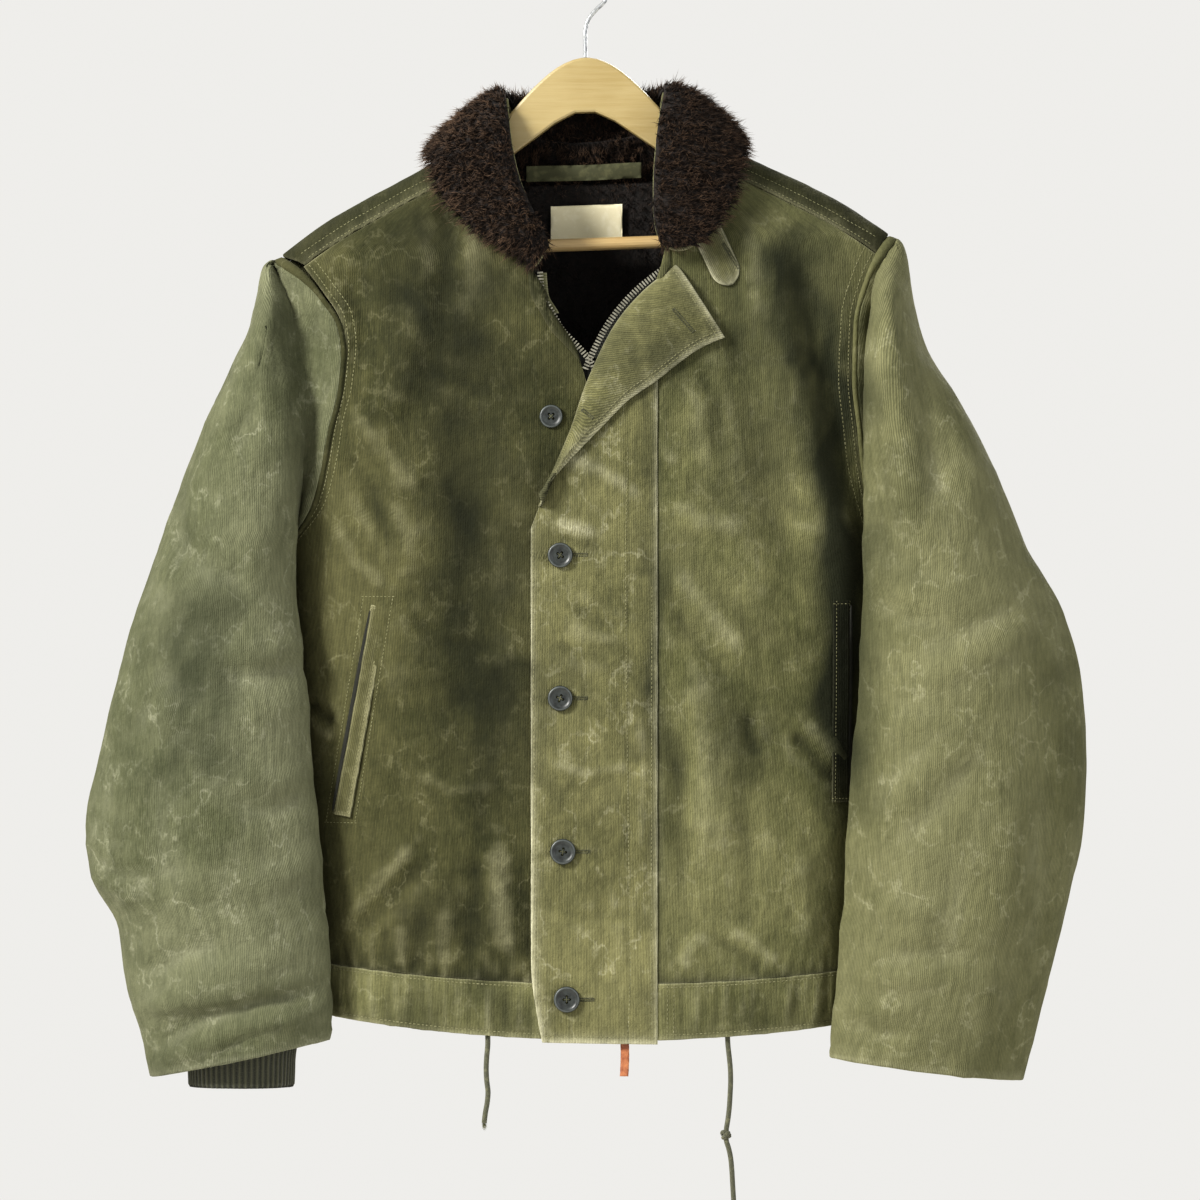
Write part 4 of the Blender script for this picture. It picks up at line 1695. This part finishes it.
def pocket(word, node, start, end, bend):
    surface = strip_surface(start, end, lambda u: 8.0, lambda x: 3.0)
    points, u, v = gridded(surface, 167, 16, 1.4)
    x, z = points[..., 0], points[..., 2]
    gap = np.minimum(*both_gaps(points, 0))
    open_side = v if bend < 0 else 1 - v
    relief = groove(gap, 3.2, 0.35) + 0.5 * rumple(x, z, 101) - 2.0 * smooth_step((0.3 - open_side) / 0.3)
    relief += 0.9 * np.exp(-(((open_side - 0.2) / 0.12) ** 2))
    welt = Cloth("pocket_welt_%s_cloth" % word, points, FORWARD, shaded, "cotton_shell", relief=relief,
                 thick=2.0, tone=0.25 if bend < 0 else -0.2,
                 cloth_uv=stack(v * 16, u * 167), hollow=0.9 * smooth_step((0.14 - open_side) / 0.1),
                 edge_wear=(1.4, 1.4, 1.6, 1.6))
    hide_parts(node)
    slit_at = bend * 6.2
    slit = strip_surface((start[0] + slit_at, start[1] - 4), (end[0] + slit_at, end[1] + 4),
                         lambda u: 1.7 * np.sqrt(np.sqrt(np.maximum(0.02, np.sin(np.pi * u)))),
                         lambda x: 3.6)
    points, u, v = gridded(slit, 159, 5, 1.5)
    mouth = Cloth("pocket_opening_" + word, points, FORWARD, deep_shadow, "cotton_shell", thick=1.2,
                  edge_wear=NO_WEAR)
    for edge in (2, 3, 0, 1):
        stitch_run("body", *welt.along_edge(edge, 3.0), *FRAME_STITCH)
    return welt


pocket_right = pocket("right", "pocket_welt_right", (-159.5, -492), (-189.5, -657), -1)
pocket_left = pocket("left", "pocket_welt_left", (200, -492), (199, -646), 1)
for offset in (-11.5, 11.5):
    top_x, foot_x = -159.5 + offset, -189.5 + offset
    stitch_run("body", *front_right.line([(top_x, -488), (foot_x, -662)]), *FRAME_STITCH)
stitch_run("body", *front_right.line([(-173, -487), (-146, -487)]), *FRAME_STITCH)
stitch_run("body", *front_right.line([(-203, -662), (-176, -662)]), *FRAME_STITCH)


# Topstitching, set in from an edge: side 0 left, 1 right, 2 top, 3 bottom
def topstitch(cloth, edge, insets, start=0.0, end=1.0, bucket="body", stitch=()):
    for inset in insets:
        stitch_run(bucket, *cloth.along_edge(edge, inset, start, end), *stitch)


topstitch(front_right, 1, (4.5, 10.5), 0.02, 0.72)
topstitch(front_left, 1, (4.5, 12), 0.02, 0.72)
topstitch(placket, 0, (4.6,))
topstitch(placket, 3, (5.2,), 0.05, 0.95)
stitch_run("body", *placket.line([(33, -372), (31, -460), (33, -640), (35, -780), (33, -826)]))
topstitch(placket, 1, (5,), 0.4, 0.98)
topstitch(lapel, 3, (4.6,), 0.0, 0.97)
topstitch(lapel, 3, (7.2,), 0.0, 0.9)
topstitch(lapel, 0, (5.0,))
for cloth in (band_right, band_left, band_back):
    topstitch(cloth, 3, (4.2,), 0.01, 0.99)
    topstitch(cloth, 2, (3.2,), 0.01, 0.99)
topstitch(band_left, 0, (12, 17), 0.08, 0.92)
for side in (RIGHT, LEFT):
    topstitch(yokes[side], 3, (3.0, 11.0), 0.02, 0.95)
    front, rear = sleeves[side, "front"], sleeves[side, "back"]
    topstitch(rear, 0, (3.0, 9.0), 0.02, 0.98, "sleeves")
    topstitch(front, 3, (6.5,), 0.1, 0.99, "sleeves")
    topstitch(rear, 3, (6.5,), 0.01, 0.9, "sleeves")
topstitch(under_collar, 3, (4.0,), 0.02, 0.98)
for edge in (2, 3):
    topstitch(tab, edge, (3.2,), 0.05, 0.85, stitch=TAB_STITCH)
for edge in (0, 1):
    topstitch(loop, edge, (3.0, 10.0), bucket="tape", stitch=LOOP_STITCH)
for edge in (2, 3, 0, 1):
    topstitch(label, edge, (2.2,), bucket="tape", stitch=LABEL_STITCH)


# Buttonholes: a worked slot with close thread round it
def buttonhole(cloth, centre, tilt, length=21, width=3.0):
    """Close zigzag stitches round a slit, lying on the cloth."""
    way = np.array([math.cos(tilt), math.sin(tilt)])
    over = np.array([-way[1], way[0]])

    def one_stitch(start, end, pitch, long, sink):
        (p, n), (q, m) = cloth.at(*start), cloth.at(*end)
        stitch_run("holes", np.array([p, q]), np.array([n, m]), pitch, long, 0.36, sink)

    for sign in (-1, 1):
        for k in range(int(length / 0.85)):
            along = -length / 2 + 0.85 * (k + 0.5)
            a = centre + way * along + over * sign * 0.35
            b = centre + way * along + over * sign * width / 2
            one_stitch(a, b, 0.6, 1.3, -0.15)
    for end in (-1, 1):
        for k in range(4):
            off = (k - 1.5) * 0.7
            a = centre + way * end * (length / 2 - 0.3) + over * off
            b = centre + way * end * (length / 2 + 1.2) + over * off
            one_stitch(a, b, 0.9, 1.5, -0.1)


for bx, bz, radius, lift in BUTTONS[1:]:
    buttonhole(placket, np.array([bx + 10.5, bz]), 0.0, 19)
buttonhole(lapel, np.array([75.5, -275.0]), -0.85, 22)
buttonhole(lapel, np.array([2.0, -347.0]), -0.7, 9, 2.4)
buttonhole(tab, np.array([112.5, -224.5]), -1.02, 21)


# Buttons: a raised rim, a dished face and four holes with thread
def button_material():
    """Dark grey-green plastic with a dull skin, fine scratches and pale rubbing on the rim."""
    look = Look("button_plastic")
    place = look.space()
    cloudy = look.noise(place, 240.0, 4.0)
    fine = look.mapped(place, Scale=(900.0, 200.0, 140.0))
    scratch = look.noise(fine, 1.0, 3.0)
    rim = look.range(look.value("wear"), 0.2, 1.0, 0.0, 0.55)
    color = look.mix(look.range(cloudy, 0.35, 0.7), "#161918", "#2b302e")
    look.set(Base_Color=look.mix(rim, color, "#6d7371"), Roughness=look.range(cloudy, 0.3, 0.7, 0.32, 0.52))
    look.set(Normal=look.bump(scratch, 0.2, 0.0002))
    return look.material


button_look = button_material()
PROFILE = [(0.01, 0.4), (0.8, 0.4), (0.93, 0.9), (1.0, 1.6), (0.985, 2.3), (0.94, 2.85), (0.87, 3.1),
           (0.8, 3.0), (0.74, 2.65), (0.68, 2.25), (0.6, 2.1), (0.3, 2.0), (0.01, 2.0)]
for i, (bx, bz, radius, lift) in enumerate(BUTTONS):
    points, faces = revolve([(r * radius, h) for r, h in PROFILE], 64)
    base = on_front(np.array(bx), np.array(bz), lift + 0.7)
    solid = mesh_object("button_%d_disc" % (i + 1), points + base, faces)
    for k in range(4):
        angle = math.pi / 4 + k * math.pi / 2 + 0.2 * i
        place = np.array([HOLE_OFFSET * math.cos(angle), 0, HOLE_OFFSET * math.sin(angle)])
        hole_points, hole_faces = revolve([(HOLE_RADIUS, -1.0), (HOLE_RADIUS, 5.0)], 16)
        cutter = mesh_object("cutter", hole_points + base + place, hole_faces)
        cut = solid.modifiers.new("hole", "BOOLEAN")
        cut.operation = "DIFFERENCE"
        cut.solver = "EXACT"
        cut.object = cutter
        graph = bpy.context.evaluated_depsgraph_get()
        made = bpy.data.meshes.new_from_object(solid.evaluated_get(graph))
        solid.modifiers.clear()
        solid.data = made
        bpy.data.objects.remove(cutter)
    solid.data.materials.clear()
    finished(solid, button_look)
    where = np.array([tuple(vertex.co) for vertex in solid.data.vertices]) / MM - base
    reach = np.hypot(where[:, 0], where[:, 2]) / radius
    rub = np.clip(1 - np.abs(reach - 0.9) / 0.08, 0, 1) * (where[:, 1] < -2.2)
    add_values(solid, "wear", rub)
    for polygon in solid.data.polygons:
        polygon.use_smooth = False
    smooth = [abs(polygon.normal[1]) < 0.999 for polygon in solid.data.polygons]
    solid.data.polygons.foreach_set("use_smooth", smooth)
    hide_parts("button_%d" % (i + 1))
    for sign in (-1, 1):
        turn = 0.2 * i + (math.pi / 4 if sign > 0 else 3 * math.pi / 4)
        way = np.array([math.cos(turn), 0, math.sin(turn)])
        face = base + np.array([0, -2.3, 0])
        ends = np.array([face - way * 2.6, face + way * 2.6])
        ups = np.array([[0, -1, 0], [0, -1, 0]], dtype=float)
        stitch_run("holes", ends, ups, 5.0, 5.2, 0.45, -0.05)

sewn = {
    "body": sew("body", thread),
    "sleeves": sew("sleeves", thread),
    "tape": sew("tape", dark_thread),
    "holes": sew("holes", dark_thread),
}


# Leather tab
def leather(name):
    """Rust-brown leather: fine grain, darker creases and scuffed pale patches."""
    look = Look(name)
    place = look.space()
    grain = look.add("TexVoronoi", {"Vector": place, "Scale": 1400.0}).outputs["Distance"]
    stain = look.noise(place, 160.0, 4.0)
    color = look.mix(look.range(stain, 0.35, 0.7), "#7c4326", "#b0724a")
    look.set(Base_Color=color, Roughness=0.55, Normal=look.bump(grain, 0.35, 0.0004))
    return look.material


surface = strip_surface((30, -820), (30, -856), lambda u: 3.3 + 0 * u,
                        lambda x: lap_lift(x) - CLOTH - 2.2)
points, u, v = gridded(surface, 36, 6.6, 0.9)
curl = 1.6 * np.clip(u, 0, 1) ** 2
strap = Cloth("leather_tab_strap", points + stack(0.8 * np.sin(u * 3), -curl * 0.6, 0 * u), FORWARD,
              leather("rust_leather"), "tab_leather", thick=1.5, relief=0.12 * noise2(u * 14, v * 4, 103))
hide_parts("leather_tab")


# Hanger: the CAD nodes keep their shapes and get their own materials
def wood(name, mid, dark, pale, along=(2.5, 60.0, 60.0)):
    """Beech: long grain, short ray flecks, a yellowed satin varnish with small dents."""
    look = Look(name)
    place = look.space()
    long = look.mapped(place, Scale=along)
    grain = look.noise(long, 5.0, 6.0, 0.65)
    flecks = look.noise(long, 24.0, 3.0, 0.6)
    stain = look.noise(place, 14.0, 3.0)
    color = look.mix(look.range(grain, 0.35, 0.72, 0.0, 0.7), mid, dark)
    color = look.mix(look.range(flecks, 0.56, 0.72, 0.0, 0.35), color, dark)
    color = look.mix(look.range(stain, 0.4, 0.7, 0.0, 0.45), color, pale)
    look.set(Base_Color=color, Roughness=look.range(grain, 0.3, 0.7, 0.34, 0.5), Coat_Weight=0.25)
    look.set(Coat_Roughness=0.25, Normal=look.bump(flecks, 0.25, 0.0006))
    return look.material


def dress(node, material):
    spot = nodes[node].material_slots[0]
    spot.link = "OBJECT"
    spot.material = material


dress("hanger_body", wood("hanger_beech", "#93835a", "#83703f", "#a3946b"))
dress("hanger_bar", wood("hanger_dowel_wood", "#ad9465", "#8a6f44", "#bda981"))
dress("hanger_hook", metal("hook_plated_steel", "#c4c6c6", "#84868a", 0.28))


# Floor, world and light
def floor_look():
    """Pale matt floor with a faint unevenness."""
    look = Look("pale_floor")
    place = look.space()
    cloudy = look.noise(place, 3.0, 4.0)
    look.set(Base_Color=look.mix(cloudy, "#d9d6cf", "#e4e1da"), Roughness=0.8)
    return look.material


turn = np.linspace(0, 2 * math.pi, FLOOR_CORNERS, endpoint=False)
disc = stack(FLOOR_RADIUS * np.cos(turn), FLOOR_RADIUS * np.sin(turn), FLOOR_HEIGHT)
floor = mesh_object("floor", disc, [list(range(FLOOR_CORNERS))])
floor.data.materials.append(floor_look())

world = bpy.data.worlds.new("pale_room")
world.use_nodes = True
sky = world.node_tree.nodes["Background"]
sky.inputs["Color"].default_value = linear("#faf9f6")
sky.inputs["Strength"].default_value = 0.76
bpy.context.scene.world = world
bpy.context.scene.view_settings.view_transform = "Standard"
bpy.context.scene.view_settings.look = "Medium High Contrast"


def area_light(name, place, target, size, power, color):
    data = bpy.data.lights.new(name, "AREA")
    data.shape = "DISK"
    data.size = size
    data.energy = power
    data.color = color
    light = bpy.data.objects.new(name, data)
    light.location = place
    aim = np.array(target) - np.array(place)
    flat = math.hypot(aim[0], aim[1])
    light.rotation_euler = (math.pi / 2 + math.atan2(aim[2], flat), 0, math.atan2(-aim[0], aim[1]))
    bpy.context.scene.collection.objects.link(light)


area_light("key", (-2.1, -1.7, 1.0), (0, 0, -0.45), 0.8, 165, (1.0, 0.98, 0.94))
area_light("fill", (2.4, -2.6, 0.1), (0, 0, -0.5), 2.0, 26, (0.93, 0.96, 1.0))
area_light("rear", (0.9, 2.6, 0.7), (0, 0, -0.5), 1.6, 45, (1.0, 0.99, 0.97))
